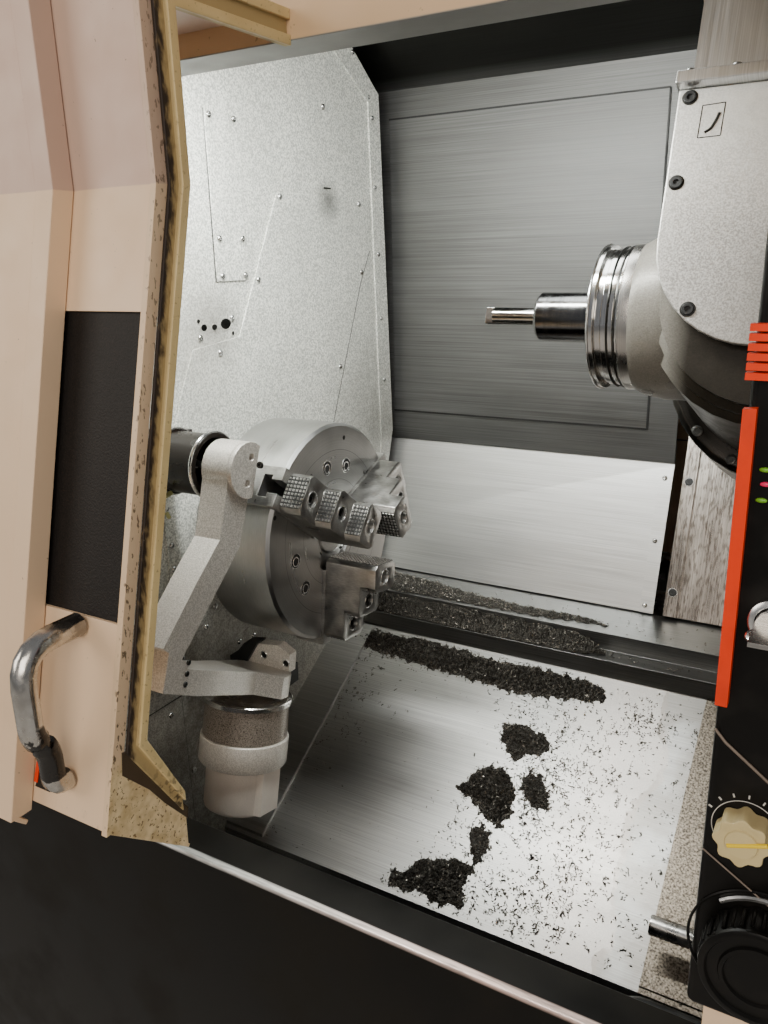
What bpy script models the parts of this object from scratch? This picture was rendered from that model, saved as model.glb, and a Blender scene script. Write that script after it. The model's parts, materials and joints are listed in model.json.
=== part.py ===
# CNC turning lathe with a tilting milling head, as metre-scale solids with +Z up.
# The empty named chuck_face stands at the centre of the chuck's front face. Every place below is
# counted from it: +X along the spindle to the right, +Y to the rear, +Z up.

import math

import bmesh
import bpy
from mathutils import Vector

COLLECTION = "turning_lathe"
SEAT = 0.0003
MERGE = 0.00001
OVERRUN = 0.01
FINE = 32
COARSE = 16
CHUCK_ROUND = 48
TUBE_ROUND = 24
SMALL_ROUND = 12

# Whole machine
SPINDLE_HEIGHT = 1.25
LEFT_END = 1.23
RIGHT_END = 1.55
REAR_DEPTH = 1.15
FRAME_SETBACK = 0.2811
SLANT_DEG = 20.0

# Casing sheets
SHEET = 0.004
CASING_FRONT = 0.375
CASING_BOTTOM_GAP = 0.17
STEP_HEIGHT = 0.50
STEP_DEPTH = 0.235
SHOULDER_RISE = 0.10
HOOD_TURN_Y = 0.02
HOOD_TURN_Z = 1.20
HOOD_TOP_Y = 0.12
HOOD_TOP = 1.42
WALL_FACE = 0.165
OPENING_RIGHT = 0.575
RIGHT_FRONT = 0.40
CASING_LAP = 0.0072

# Front panel and door
KNEE_HEIGHT = 0.42
LEAN_SHARE = 0.25
DOOR_RISE = 0.066
DOOR_PLANE = 0.421
DOOR_SKIN = 0.003
DOOR_STAND = 0.018
DOOR_WIDTH = 0.60
DOOR_EDGE = 0.156
BELLY_HEIGHT = 0.060
UNDERSIDE_Y = 0.480
UNDERSIDE_Z = 0.127
GUSSET_TOP_Z = 0.007
GUSSET_REAR_Y = 0.482
GUSSET_REAR_Z = 0.087
RIM_WIDTH = 0.006
RIM_PROUD = 0.004
RIM_DEEP = 0.012
WINDOW_LEFT = 0.33
WINDOW_RIGHT = 0.149
WINDOW_TOP = 0.33
WINDOW_FOOT = 0.10
WINDOW_GLASS = 0.005
FRAME_DEPTH = 0.018
FRAME_PLATE = 0.003
FRAME_LIP_WIDTH = 0.0083
FRAME_LIP_PROUD = 0.004
FRAME_KNEE_Y = 0.4143
FRAME_TURN_Y = 0.518
FRAME_TURN_Z = 0.0038
FRAME_FOOT_Y = 0.484
FRAME_FOOT_Z = 0.0646
FRAME_LEG_RISE = 0.038
FRAME_TURN_DROP_SHARE = 0.22
FRAME_FOOT_DROP_SHARE = 1.17
FIXED_PANEL_EDGE = 0.0655
FIXED_PANEL_STAND = 0.036
FIXED_PANEL_DROP = 0.067
FIXED_PANEL_TURN = 0.010
FIXED_PANEL_RISE = 0.070
FIXED_RIM_WIDTH = 0.020
FIXED_RIM_PROUD = 0.003
FIXED_RIM_DEEP = 0.020
HANDLE_X = 0.107
HANDLE_TOP = 0.094
HANDLE_FOOT = 0.027
HANDLE_TUBE = 0.0098
HANDLE_BOW = 0.5785
HANDLE_BOW_FOOT = 0.022
HANDLE_KINK_Y = 0.566
HANDLE_KINK_Z = 0.006
HANDLE_BEND = 0.030
HANDLE_TIGHT_BEND = 0.011

# Front skirt and trough
SKIRT_FACE = 0.42
SKIRT_TOP = 0.203
SKIRT_TUCK = 0.05
SKIRT_FOOT = 1.10
SKIRT_BEND = 0.55
TROUGH_FRONT = 0.372
TROUGH_DEPTH = 0.78
TROUGH_LIP = 0.26
TROUGH_REAR_TOP = 0.52

# Top beam
BEAM_PROUD = 0.041
BEAM_HEIGHT = 0.045
BEAM_RISE = 0.042
BEAM_FLANGE = 0.010

# Bed
BED_LEFT = 1.15
BED_RIGHT = 1.42
BED_FRONT = 0.30
BED_FOOT_GAP = 0.10
BED_STEP_Y = 0.05
BED_STEP_Z = 0.62
BED_REAR_TOP = 0.36
BED_SHOULDER_Y = 0.36
BED_REAR_SEAT = 0.0043
PEDESTAL_FRONT = 0.26
PEDESTAL_REAR = 0.34
PEDESTAL_END = 0.20
PAD_RADIUS = 0.06
PAD_THICK = 0.03
STUD_RADIUS = 0.018
PAD_INSET = 0.16
WAY_WIDTH = 0.055
WAY_HEIGHT = 0.048
WAY_FRONT_Y = 0.50
WAY_REAR_INSET = 0.17
WAY_LEFT = 0.72
WAY_RIGHT = 1.38
SCREW_RADIUS = 0.02
SCREW_LIFT = 0.035
SCREW_BLOCK = 0.03
SCREW_TUNNEL = 0.045

# Headstock
HEADSTOCK_LEFT = 0.86
HEADSTOCK_HALF = 0.24
HEADSTOCK_BORE = 0.090
HEADSTOCK_CHAMFER = 0.05
SHAFT_RADIUS = 0.0895
SHAFT_TAIL = 1.00
NOSE_RADIUS = 0.105
NOSE_LENGTH = 0.055
NOSE_CLEAR = 0.004
CYLINDER_RADIUS = 0.13
CYLINDER_LENGTH = 0.12

# Headstock wall
WALL_SHEET = 0.004
WALL_TOP_Z = 0.74
WALL_TOP_Y = 0.20
WALL_CHAMFER_Y = 0.43
WALL_CHAMFER_Z = 0.634
WALL_CORNER_Y = 0.344
WALL_CORNER_Z = 0.696
WALL_EDGE_Y = 0.458
WALL_EDGE_Z = 0.05
WALL_TUCK_Y = 0.375
WALL_TUCK_Z = 0.205
PLATE_SHEET = 0.002
SMALL_PLATE = ((-0.018, 0.340), (-0.018, 0.555), (0.054, 0.555), (0.044, 0.340))
BIG_PLATE = (
    (0.127, 0.461), (0.387, 0.466), (0.387, -0.02), (0.33, -0.05), (-0.16, -0.05), (-0.16, 0.05),
    (-0.110, 0.192), (-0.077, 0.254), (0.0205, 0.263))
EDGE_STRIP = (
    (0.344, 0.694), (0.4295, 0.633), (0.4565, 0.05), (0.415, -0.08), (0.392, -0.08),
    (0.414, 0.04), (0.395, 0.6175), (0.288, 0.682))

# Chuck
CHUCK_RADIUS = 0.1524
CHUCK_LENGTH = 0.106
CHUCK_EDGE = 0.004
CHUCK_BORE = 0.043
CHUCK_TURN_DEG = -97.5
JAW_COUNT = 3
JAW_WIDTH = 0.054
MASTER_DEPTH = 0.042
MASTER_PROUD = 0.005
MASTER_INNER = 0.050
MASTER_OUTER = 0.158
SLOT_INNER = 0.044
TEE_WIDTH = 0.030
TEE_NECK = 0.018
TEE_DEPTH = 0.024
TEE_TOP = 0.011
JAW_INNER = 0.032
JAW_STEP = 0.038
JAW_FOOT_RISE = 0.027
JAW_RISE = 0.0238
JAW_BOLT_RADIUS = 0.0095
JAW_BOLT_DEPTH = 0.012
KNURL_ROWS = 4
KNURL_COLUMNS = 6
KNURL_HEIGHT = 0.0014
FACE_BOLT_CIRCLE = 0.095
FACE_BOLT_RADIUS = 0.0095
FACE_BOLT_DEPTH = 0.02
FACE_BOLT_SPREAD_DEG = 14.7
CAP_RADIUS = 0.0427
CAP_STEP = 0.030
CAP_THICK = 0.010
CAP_RECESS = 0.004

# Chip guards
SLIDE_TOP_Y = 0.257
SLIDE_TOP_Z = 0.270
SLIDE_FOOT_Y = 0.098
SLIDE_FOOT_Z = 0.483
SLIDE_APRON = 0.09
SLIDE_SHEET = 0.004
SLIDE_STRIP_END = 0.094
SLIDE_STRIP_RISE = 0.006
SLIDE_SEAM = 0.475
SLIDE_SEAM_RISE = 0.003
SLIDE_LAP = 0.005
RIGHT_WALL = 1.0
RAIL_FOOT = 0.2675
RAIL_TOP = 0.240
CHANNEL_WIDTH = 0.037
LEDGE_TOP = 0.212
LEDGE_REAR = 0.4015
LEDGE_SHEET = 0.003

# Moving rear covers
COVER_SHEET = 0.003
REAR_PLANE = 0.480
REAR_TOP = 0.646
COVER_TOP = 0.019
COVER_FOOT_Y = 0.3985
COVER_FOOT_LIFT = 0.0025
COVER_LAP = 0.03
COVER_SEAM_GAP = 0.0005
CEILING_FRONT = 0.02
CEILING_RISE_SHARE = 0.727
COVER_LEFT = 0.50
COVER_RIGHT = 0.361
SEAM_LEFT = 0.17
SEAM_RIGHT = 0.312
SEAM_TOP = 0.600
SEAM_FOOT = 0.084
SEAM_RAISE = 0.0022
FLANGE_WIDTH = 0.022
RIGHT_COVER_LEFT = 0.7235
RIGHT_COVER_RIGHT = 1.31
RIB_HEIGHT = 0.30
RIB_WIDTH = 0.04
RIB_DEPTH = 0.12

# Column and saddle, in the slanted frame of the milling head
HEAD_X = 0.542
HEAD_Z = 0.298
COLUMN_HALF = 0.15
COLUMN_FACE = 0.560
COLUMN_TOP = 0.62
COLUMN_REAR_INSET = 0.09
COLUMN_FRONT_Y = 0.42
COLUMN_SHEET_FACE = 0.545
COLUMN_SHEET_FOOT = 0.340
COLUMN_SHEET_TOP = 0.60
COLUMN_SHEET_HALF = 0.164
SIDE_STRIP = 0.021
SIDE_STRIP_RISE = 0.006
SADDLE_HALF = 0.16
SADDLE_HEIGHT = 0.26
SADDLE_REAR_INSET = 0.107
SADDLE_FRONT = 0.13
RAM_CLEAR = 0.0008

# Ram and milling head
RAM_HALF = 0.104
RAM_FRONT = 0.0785
RAM_REAR = 0.33
RAM_TOP = 1.03
RAM_FOOT = 0.136
SLAB_FRONT = 0.2155
YOKE_FOOT = 0.139
CHEEK_BACK = 0.0865
CHEEK_FRONT = 0.0940
COVER_HALF = 0.110
COVER_CORNER = 0.097
COVER_FOOT = 0.052
COVER_HEAD = 0.1895
COVER_PLATE = 0.006
CAP_HALF = 0.112
CAP_OVERHANG = 0.034
CAP_PLATE = 0.012
DISC_RADIUS = 0.141
DISC_FACE = 0.190
DISC_BACK = 0.2152
DRUM_RADIUS = 0.117
DRUM_FRONT = 0.085
DRUM_BACK = 0.1897
DRUM_STEP = 0.014
COLLAR_RADIUS = 0.0736
COLLAR_BACK = 0.134
COLLAR_FRONT = 0.176
NOSE_CAST_RADIUS = 0.080
NOSE_CAST_ROOT = 0.084
SPINDLE_BORE = 0.0385
HOLDER_RADIUS = 0.0265
HOLDER_LENGTH = 0.0748
HOLDER_SHANK = 0.0382
HOLDER_SHANK_DEPTH = 0.05
BAR_RADIUS = 0.0098
BAR_LENGTH = 0.0646
BAR_POCKET = 0.03
BAR_FLAT = 0.004

# Tool setter
HUB_X = 0.075
HUB_Y = 0.122
HUB_Z = 0.215
HUB_RING = 0.062
HUB_TOP_RADIUS = 0.058
HUB_BAND_RADIUS = 0.062
HUB_FOOT_RADIUS = 0.048
HUB_TOP_LENGTH = 0.056
HUB_BAND_LENGTH = 0.040
HUB_FOOT_LENGTH = 0.069
HUB_RING_THICK = 0.006
HUB_SPIGOT = 0.030
BOSS_LENGTH = 0.006
BRACKET_FRONT = 0.042
BRACKET_REAR = 0.115
BRACKET_RISE = 0.042
BRACKET_DROP = 0.05
BRACKET_RIGHT = 0.045
PLATE_THICK = 0.030
PLATE_LIFT = 0.0063
PLATE_HALF = 0.036
ARM_RIGHT = 0.0
ARM_OUTLINE = (
    (0.220, 0.0063), (0.256, 0.0063), (0.256, 0.051), (0.266, 0.097), (0.229, 0.169),
    (0.201, 0.219), (0.201, 0.251), (0.205, 0.315), (0.161, 0.297), (0.163, 0.213),
    (0.234, 0.083), (0.223, 0.043))
ARM_THICK = 0.038
ARM_RADIUS = 0.034
HEAD_N = 0.174
HEAD_V = 0.304
STYLUS_RADIUS = 0.004
STYLUS_LENGTH = 0.045
STYLUS_CUBE = 0.010
STYLUS_BASE = 0.012
EYE_PLATE = 0.006
EYE_HOLE = 0.0045
EYE_HOLE_PLACE = 0.016
EYE_FLAT = 0.0125
TUBE_RADIUS = 0.038
TUBE_WALL = 0.003
TUBE_MOUTH = 0.046
TUBE_LENGTH = 0.066
TUBE_RING = 0.0025
TUBE_RING_WIDTH = 0.006
TUBE_BRACKET = 0.034

# Control panel
PENDANT_LEFT = 0.5735
PENDANT_WIDTH = 0.50
PENDANT_FACE = 0.50
PENDANT_FOOT = 0.062
PENDANT_TOP = 0.60
PENDANT_EDGE = 0.004
STRIP_WIDTH = 0.008
STRIP_TOP = 0.292
STRIP_FOOT = 0.128
STRIP_PROUD = 0.004
SCREEN_LEFT = 0.11
SCREEN_WIDTH = 0.32
SCREEN_TOP = 0.54
SCREEN_HEIGHT = 0.24
SCREEN_SINK = 0.006
SCREEN_GLASS = 0.005
RIB_BLOCK_FOOT = 0.290
RIB_BLOCK_TOP = 0.332
RIB_BLOCK_WIDTH = 0.030
RIB_BLOCK_DEPTH = 0.006
RIB_GROOVES = 4
GROOVE_SHARE = 0.4
DIAL_INSET = 0.0205
DIAL_Z = 0.067
DIAL_RADIUS = 0.0145
DIAL_HEIGHT = 0.014
DIAL_LOBES = 8
DIAL_LOBE_DEPTH = 0.0012
WHEEL_INSET = 0.036
WHEEL_DROP = 0.008
WHEEL_RADIUS = 0.030
WHEEL_HEIGHT = 0.020
WHEEL_FLUTES = 18
FLUTE_DEPTH = 0.0009
KEY_INSET = 0.022
KEY_Z = 0.188
KEY_RADIUS = 0.008
KEY_HEIGHT = 0.008
KEY_BLADE = 0.0024
KEY_BOW = 0.024
STOP_INSET = 0.40
STOP_RADIUS = 0.020
STOP_HEIGHT = 0.014
STOP_GAP = 0.008
BUTTON_STEM = 0.006
SOCKET_RADIUS = 0.0065
SOCKET_DEPTH = 0.03
STEM_DEPTH = 0.012

# Coolant lines in the trough corner
PIPE_RADIUS = 0.011
PIPE_MOUTH = (0.485, -0.070, -0.405)
PIPE_BEND = (0.640, -0.070, -0.405)
PIPE_FOOT_GAP = 0.0008
HOSE_RADIUS = 0.010
HOSE_BEND = 0.03
HOSE_Y = 0.135
HOSE_LOW = 0.60
HOSE_HIGH = 0.462
HOSE_LEFT = 0.466
HOSE_RIGHT = 0.66
FITTING_RADIUS = 0.016
FITTING_LENGTH = 0.03

FLOOR = -SPINDLE_HEIGHT
SLANT = math.radians(SLANT_DEG)
SHOULDER_HEIGHT = STEP_HEIGHT + SHOULDER_RISE
DOOR_TOP = STEP_HEIGHT + DOOR_RISE
FRAME_TOP_LEG_Z = STEP_HEIGHT + FRAME_LEG_RISE
FIXED_PANEL_TOP = STEP_HEIGHT + FIXED_PANEL_RISE
BEAM_FOOT = STEP_HEIGHT + BEAM_RISE
WAY_REAR_Y = REAR_DEPTH - WAY_REAR_INSET
SCREW_Y = (WAY_FRONT_Y + WAY_REAR_Y) / 2
COLUMN_REAR_Y = REAR_DEPTH - COLUMN_REAR_INSET
COLUMN_TOP_REAR = (COLUMN_REAR_Y - COLUMN_TOP * math.sin(SLANT)) / math.cos(SLANT)
SADDLE_TOP = COLUMN_TOP + SADDLE_HEIGHT
SADDLE_REAR = (REAR_DEPTH - SADDLE_REAR_INSET - SADDLE_TOP * math.sin(SLANT)) / math.cos(SLANT)
BEAM_FRONT = STEP_DEPTH + BEAM_PROUD
TOP_LEG_REAR = BEAM_FRONT + SEAT
SLIDE_SHARE = (SLIDE_FOOT_Z - SLIDE_TOP_Z) / (SLIDE_TOP_Y + SLIDE_FOOT_Y)
COVER_FOOT_Z = LEDGE_TOP - COVER_FOOT_LIFT
COVER_LEAN_SHARE = (COVER_TOP + COVER_FOOT_Z) / (REAR_PLANE - COVER_FOOT_Y)
TROUGH_REAR = SLIDE_FOOT_Y - SLIDE_SHEET - SEAT - SHEET
BED_FRONT_TOP = TROUGH_DEPTH + SEAT
PEDESTAL_TOP = HEADSTOCK_HALF + SEAT
COLUMN_FOOT = BED_REAR_TOP - WAY_HEIGHT - SEAT - SEAT
ALONG_X = (math.pi / 2, 0.0, math.pi / 2)
ALONG_Y = (math.pi / 2, 0.0, 0.0)
TURNED_X = (0.0, math.pi / 2, 0.0)
FLAT = (0.0, 0.0, 0.0)
SLANTED = (math.pi / 2 - SLANT, 0.0, 0.0)
TURNED_Y = (-math.pi / 2, 0.0, 0.0)
SIDEWAYS = (0.0, -math.pi / 2, 0.0)
HEAD_PLACE = (HEAD_X, 0.0, HEAD_Z)
HUB_PLACE = (-HUB_X, -HUB_Y, -HUB_Z)

CREAM = ((0.80, 0.72, 0.60, 1.0), 0.45, 0.0)
STAINED = ((0.62, 0.50, 0.27, 1.0), 0.55, 0.0)
BLACK = ((0.012, 0.012, 0.013, 1.0), 0.4, 0.0)
GALVANISED = ((0.56, 0.57, 0.53, 1.0), 0.42, 0.6)
STEEL = ((0.62, 0.62, 0.62, 1.0), 0.3, 1.0)
DARK_STEEL = ((0.22, 0.22, 0.22, 1.0), 0.35, 1.0)
CAST_GREY = ((0.50, 0.49, 0.46, 1.0), 0.6, 0.3)
MACHINE_GREY = ((0.30, 0.30, 0.29, 1.0), 0.6, 0.2)
TUBE_BROWN = ((0.07, 0.055, 0.045, 1.0), 0.5, 0.1)
CHROME = ((0.75, 0.75, 0.75, 1.0), 0.12, 1.0)
ORANGE = ((0.80, 0.11, 0.03, 1.0), 0.45, 0.0)
RED = ((0.6, 0.02, 0.02, 1.0), 0.4, 0.0)
GLASS = ((0.02, 0.02, 0.025, 1.0), 0.15, 0.0)


def new_collection(name):
    """Makes a collection in the scene."""
    found = bpy.data.collections.new(name)
    bpy.context.scene.collection.children.link(found)
    return found


def material(name, look):
    """Makes a Principled material from a colour, a roughness and a metallic value."""
    colour, roughness, metallic = look
    made = bpy.data.materials.new(name)
    made.use_nodes = True
    shader = made.node_tree.nodes["Principled BSDF"]
    shader.inputs["Base Color"].default_value = colour
    shader.inputs["Roughness"].default_value = roughness
    shader.inputs["Metallic"].default_value = metallic
    return made


def add_empty(name, parent, place=(0.0, 0.0, 0.0), turn=FLAT):
    """Adds an empty that carries other pieces."""
    empty = bpy.data.objects.new(name, None)
    PARTS.objects.link(empty)
    empty.parent = parent
    empty.location = place
    empty.rotation_euler = turn
    return empty


def add_mesh(name, mesh, parent, look=None, place=(0.0, 0.0, 0.0), turn=FLAT):
    """Adds a mesh as a part, or as a cutter if it has no look."""
    piece = bpy.data.objects.new(name, mesh)
    piece.parent = parent
    piece.location = place
    piece.rotation_euler = turn
    if look is None:
        CUTTERS.objects.link(piece)
        piece.hide_render = True
        piece.display_type = "WIRE"
        return piece
    PARTS.objects.link(piece)
    mesh.materials.append(material(name + "_finish", look))
    return piece


def finish_mesh(mesh, form, smooth_deg=None):
    """Writes a bmesh to a mesh and shades it."""
    bmesh.ops.recalc_face_normals(form, faces=form.faces)
    form.to_mesh(mesh)
    form.free()
    if smooth_deg is not None:
        mesh.shade_smooth()
        mesh.set_sharp_from_angle(angle=math.radians(smooth_deg))
    return mesh


def block_mesh(name, low, high):
    """A box between two corners."""
    form = bmesh.new()
    bmesh.ops.create_cube(form, size=1.0)
    size = [b - a for a, b in zip(low, high)]
    middle = [(a + b) / 2 for a, b in zip(low, high)]
    bmesh.ops.scale(form, vec=size, verts=form.verts)
    bmesh.ops.translate(form, vec=middle, verts=form.verts)
    return finish_mesh(bpy.data.meshes.new(name), form)


def rod_mesh(name, radius, start, length, sides=FINE):
    """A round bar along its own Z, from start."""
    form = bmesh.new()
    bmesh.ops.create_cone(
        form, cap_ends=True, segments=sides, radius1=radius, radius2=radius, depth=length)
    bmesh.ops.translate(form, vec=(0.0, 0.0, start + length / 2), verts=form.verts)
    return finish_mesh(bpy.data.meshes.new(name), form, 35)


def prism_mesh(name, outline, low, high, open_end=False):
    """A flat outline in its own XY, thick from low to high along its own Z."""
    curve = bpy.data.curves.new(name, "CURVE")
    curve.dimensions = "2D"
    curve.fill_mode = "BOTH"
    curve.extrude = (high - low) / 2
    spline = curve.splines.new("POLY")
    spline.points.add(len(outline) - 1)
    for point, (x, y) in zip(spline.points, outline):
        point.co = (x, y, 0.0, 1.0)
    spline.use_cyclic_u = True
    guide = bpy.data.objects.new(name, curve)
    bpy.context.scene.collection.objects.link(guide)
    drawn = guide.evaluated_get(bpy.context.evaluated_depsgraph_get())
    mesh = bpy.data.meshes.new_from_object(drawn)
    bpy.data.objects.remove(guide)
    form = bmesh.new()
    form.from_mesh(mesh)
    bmesh.ops.remove_doubles(form, verts=form.verts, dist=MERGE)
    if open_end:
        ends = [f for f in form.faces if all(v.co.z > 0 for v in f.verts)]
        bmesh.ops.delete(form, geom=ends, context="FACES")
    bmesh.ops.translate(form, vec=(0.0, 0.0, (high + low) / 2), verts=form.verts)
    return finish_mesh(mesh, form)


def turned_piece(name, profile, parent, look=None, place=(0.0, 0.0, 0.0), turn=FLAT, sides=FINE,
                 ring=False):
    """A turned shape about its own Z. The profile of radius and height runs down its outer side."""
    form = bmesh.new()
    points = [form.verts.new((radius, 0.0, height)) for radius, height in profile]
    for above, below in zip(points, points[1:]):
        form.edges.new((above, below))
    if ring:
        form.edges.new((points[-1], points[0]))
    mesh = bpy.data.meshes.new(name)
    form.to_mesh(mesh)
    form.free()
    piece = add_mesh(name, mesh, parent, look, place, turn)
    screw = piece.modifiers.new("turned", "SCREW")
    screw.steps = sides
    screw.render_steps = sides
    screw.use_merge_vertices = True
    screw.merge_threshold = MERGE
    screw.use_smooth_shade = True
    return piece


def folded_sheet(name, line, low, high, thick, parent, look, place=(0.0, 0.0, 0.0), turn=ALONG_X,
                 side=-1.0):
    """A bent sheet: an open line in its own XY, drawn out from low to high, then given its wall."""
    curve = bpy.data.curves.new(name, "CURVE")
    curve.dimensions = "2D"
    curve.extrude = (high - low) / 2
    spline = curve.splines.new("POLY")
    spline.points.add(len(line) - 1)
    for point, (x, y) in zip(spline.points, line):
        point.co = (x, y, 0.0, 1.0)
    guide = bpy.data.objects.new(name, curve)
    bpy.context.scene.collection.objects.link(guide)
    drawn = guide.evaluated_get(bpy.context.evaluated_depsgraph_get())
    mesh = bpy.data.meshes.new_from_object(drawn)
    bpy.data.objects.remove(guide)
    form = bmesh.new()
    form.from_mesh(mesh)
    bmesh.ops.remove_doubles(form, verts=form.verts, dist=MERGE)
    bmesh.ops.translate(form, vec=(0.0, 0.0, (high + low) / 2), verts=form.verts)
    form.to_mesh(mesh)
    form.free()
    piece = add_mesh(name, mesh, parent, look, place, turn)
    wall = piece.modifiers.new("wall", "SOLIDIFY")
    wall.thickness = thick
    wall.offset = side
    wall.use_even_offset = True
    return piece


def change(piece, tool, operation, solver="EXACT"):
    """Cuts a piece with a tool, or joins the tool to it."""
    step = piece.modifiers.new(tool.name, "BOOLEAN")
    step.operation = operation
    step.object = tool
    step.solver = solver


def cut(piece, tool):
    change(piece, tool, "DIFFERENCE")


def join(piece, tool):
    change(piece, tool, "UNION")


def bevel(piece, width, segments=2):
    """Rounds the sharp edges of a piece."""
    step = piece.modifiers.new("edges", "BEVEL")
    step.width = width
    step.segments = segments
    step.limit_method = "ANGLE"
    step.angle_limit = math.radians(40)


def arc(centre_x, centre_y, radius, from_deg, to_deg, steps):
    """Points along an arc."""
    points = []
    for step in range(steps + 1):
        angle = math.radians(from_deg + (to_deg - from_deg) * step / steps)
        points.append((centre_x + radius * math.cos(angle), centre_y + radius * math.sin(angle)))
    return points


def front_line(stand, foot_z, top_z):
    """The door's front section, a vertical top over a foot that leans out, moved forward by stand."""
    y = -DOOR_PLANE - stand
    return [(y - LEAN_SHARE * (KNEE_HEIGHT - foot_z), foot_z), (y, KNEE_HEIGHT), (y, top_z)]


def casing_outline(front):
    """The section of the casing seen along the spindle."""
    return [
        (-front, FLOOR + CASING_BOTTOM_GAP), (-front, STEP_HEIGHT), (-STEP_DEPTH, STEP_HEIGHT),
        (-STEP_DEPTH, SHOULDER_HEIGHT), (-HOOD_TURN_Y, HOOD_TURN_Z), (HOOD_TOP_Y, HOOD_TOP),
        (REAR_DEPTH, HOOD_TOP), (REAR_DEPTH, FLOOR + CASING_BOTTOM_GAP)]


def bed_outline():
    """The section of the bed seen along the spindle."""
    foot = FLOOR + BED_FOOT_GAP
    rear = REAR_DEPTH - BED_REAR_SEAT
    return [
        (-BED_FRONT, foot), (-BED_FRONT, -BED_FRONT_TOP), (-BED_STEP_Y, -BED_FRONT_TOP),
        (-BED_STEP_Y, -BED_STEP_Z), (BED_SHOULDER_Y, -BED_REAR_TOP), (rear, -BED_REAR_TOP),
        (rear, foot)]


def wall_outline():
    """The section of the work space, which the headstock wall and the right wall close."""
    front = -CASING_FRONT + SHEET
    fall_share = (HOOD_TURN_Y - STEP_DEPTH) / (SHOULDER_HEIGHT - HOOD_TURN_Z)
    shoulder = -STEP_DEPTH + SHEET * math.hypot(1.0, fall_share) + SEAT
    gap = SEAT + SEAT
    return [
        (front, -TROUGH_DEPTH), (front, STEP_HEIGHT - SHEET - gap),
        (shoulder, STEP_HEIGHT - SHEET - gap), (shoulder, SHOULDER_HEIGHT),
        (shoulder + fall_share * (WALL_TOP_Z - SHOULDER_HEIGHT), WALL_TOP_Z), (WALL_TOP_Y, WALL_TOP_Z),
        (WALL_CORNER_Y, WALL_CORNER_Z), (WALL_CHAMFER_Y, WALL_CHAMFER_Z), (WALL_EDGE_Y, WALL_EDGE_Z),
        (WALL_TUCK_Y, -WALL_TUCK_Z), (WALL_TUCK_Y, -BED_REAR_TOP + gap),
        (BED_SHOULDER_Y, -BED_REAR_TOP + gap), (-BED_STEP_Y - gap, -BED_STEP_Z + gap),
        (-BED_STEP_Y - gap, -TROUGH_DEPTH)]


def rounded_path(points, bends, steps=5):
    """Rounds the corners of a path, each by its own bend length."""
    corners = [Vector(p) for p in points]
    path = [corners[0]]
    for before, corner, after, bend in zip(corners, corners[1:], corners[2:], bends):
        start = corner + (before - corner).normalized() * bend
        end = corner + (after - corner).normalized() * bend
        for step in range(steps + 1):
            share = step / steps
            path.append(start.lerp(corner, share).lerp(corner.lerp(end, share), share))
    path.append(corners[-1])
    return path


def tube_piece(name, path, radius, parent, look=None, roundness=3, place=(0.0, 0.0, 0.0),
               turn=FLAT):
    """A round bar along a path, closed at both ends."""
    curve = bpy.data.curves.new(name, "CURVE")
    curve.dimensions = "3D"
    curve.bevel_depth = radius
    curve.bevel_resolution = roundness
    curve.use_fill_caps = True
    spline = curve.splines.new("POLY")
    spline.points.add(len(path) - 1)
    for point, place_on_path in zip(spline.points, path):
        point.co = (*place_on_path, 1.0)
    guide = bpy.data.objects.new(name, curve)
    bpy.context.scene.collection.objects.link(guide)
    drawn = guide.evaluated_get(bpy.context.evaluated_depsgraph_get())
    mesh = bpy.data.meshes.new_from_object(drawn)
    bpy.data.objects.remove(guide)
    form = bmesh.new()
    form.from_mesh(mesh)
    bmesh.ops.remove_doubles(form, verts=form.verts, dist=MERGE)
    finish_mesh(mesh, form, 40)
    return add_mesh(name, mesh, parent, look, place, turn)


def lobed_outline(radius, depth, count, steps):
    """A round outline with shallow lobes."""
    points = []
    for step in range(count * steps):
        angle = 2 * math.pi * step / (count * steps)
        reach = radius - depth + depth * math.cos(count * angle)
        points.append((reach * math.cos(angle), reach * math.sin(angle)))
    return points


def add_block(name, low, high, parent, look=None, place=(0.0, 0.0, 0.0), turn=FLAT):
    return add_mesh(name, block_mesh(name, low, high), parent, look, place, turn)


def add_prism(name, outline, low, high, parent, look=None, place=(0.0, 0.0, 0.0), turn=ALONG_X):
    return add_mesh(name, prism_mesh(name, outline, low, high), parent, look, place, turn)


def add_rod(name, radius, start, length, parent, look=None, place=(0.0, 0.0, 0.0), turn=TURNED_X,
            sides=FINE):
    return add_mesh(name, rod_mesh(name, radius, start, length, sides), parent, look, place, turn)


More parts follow.
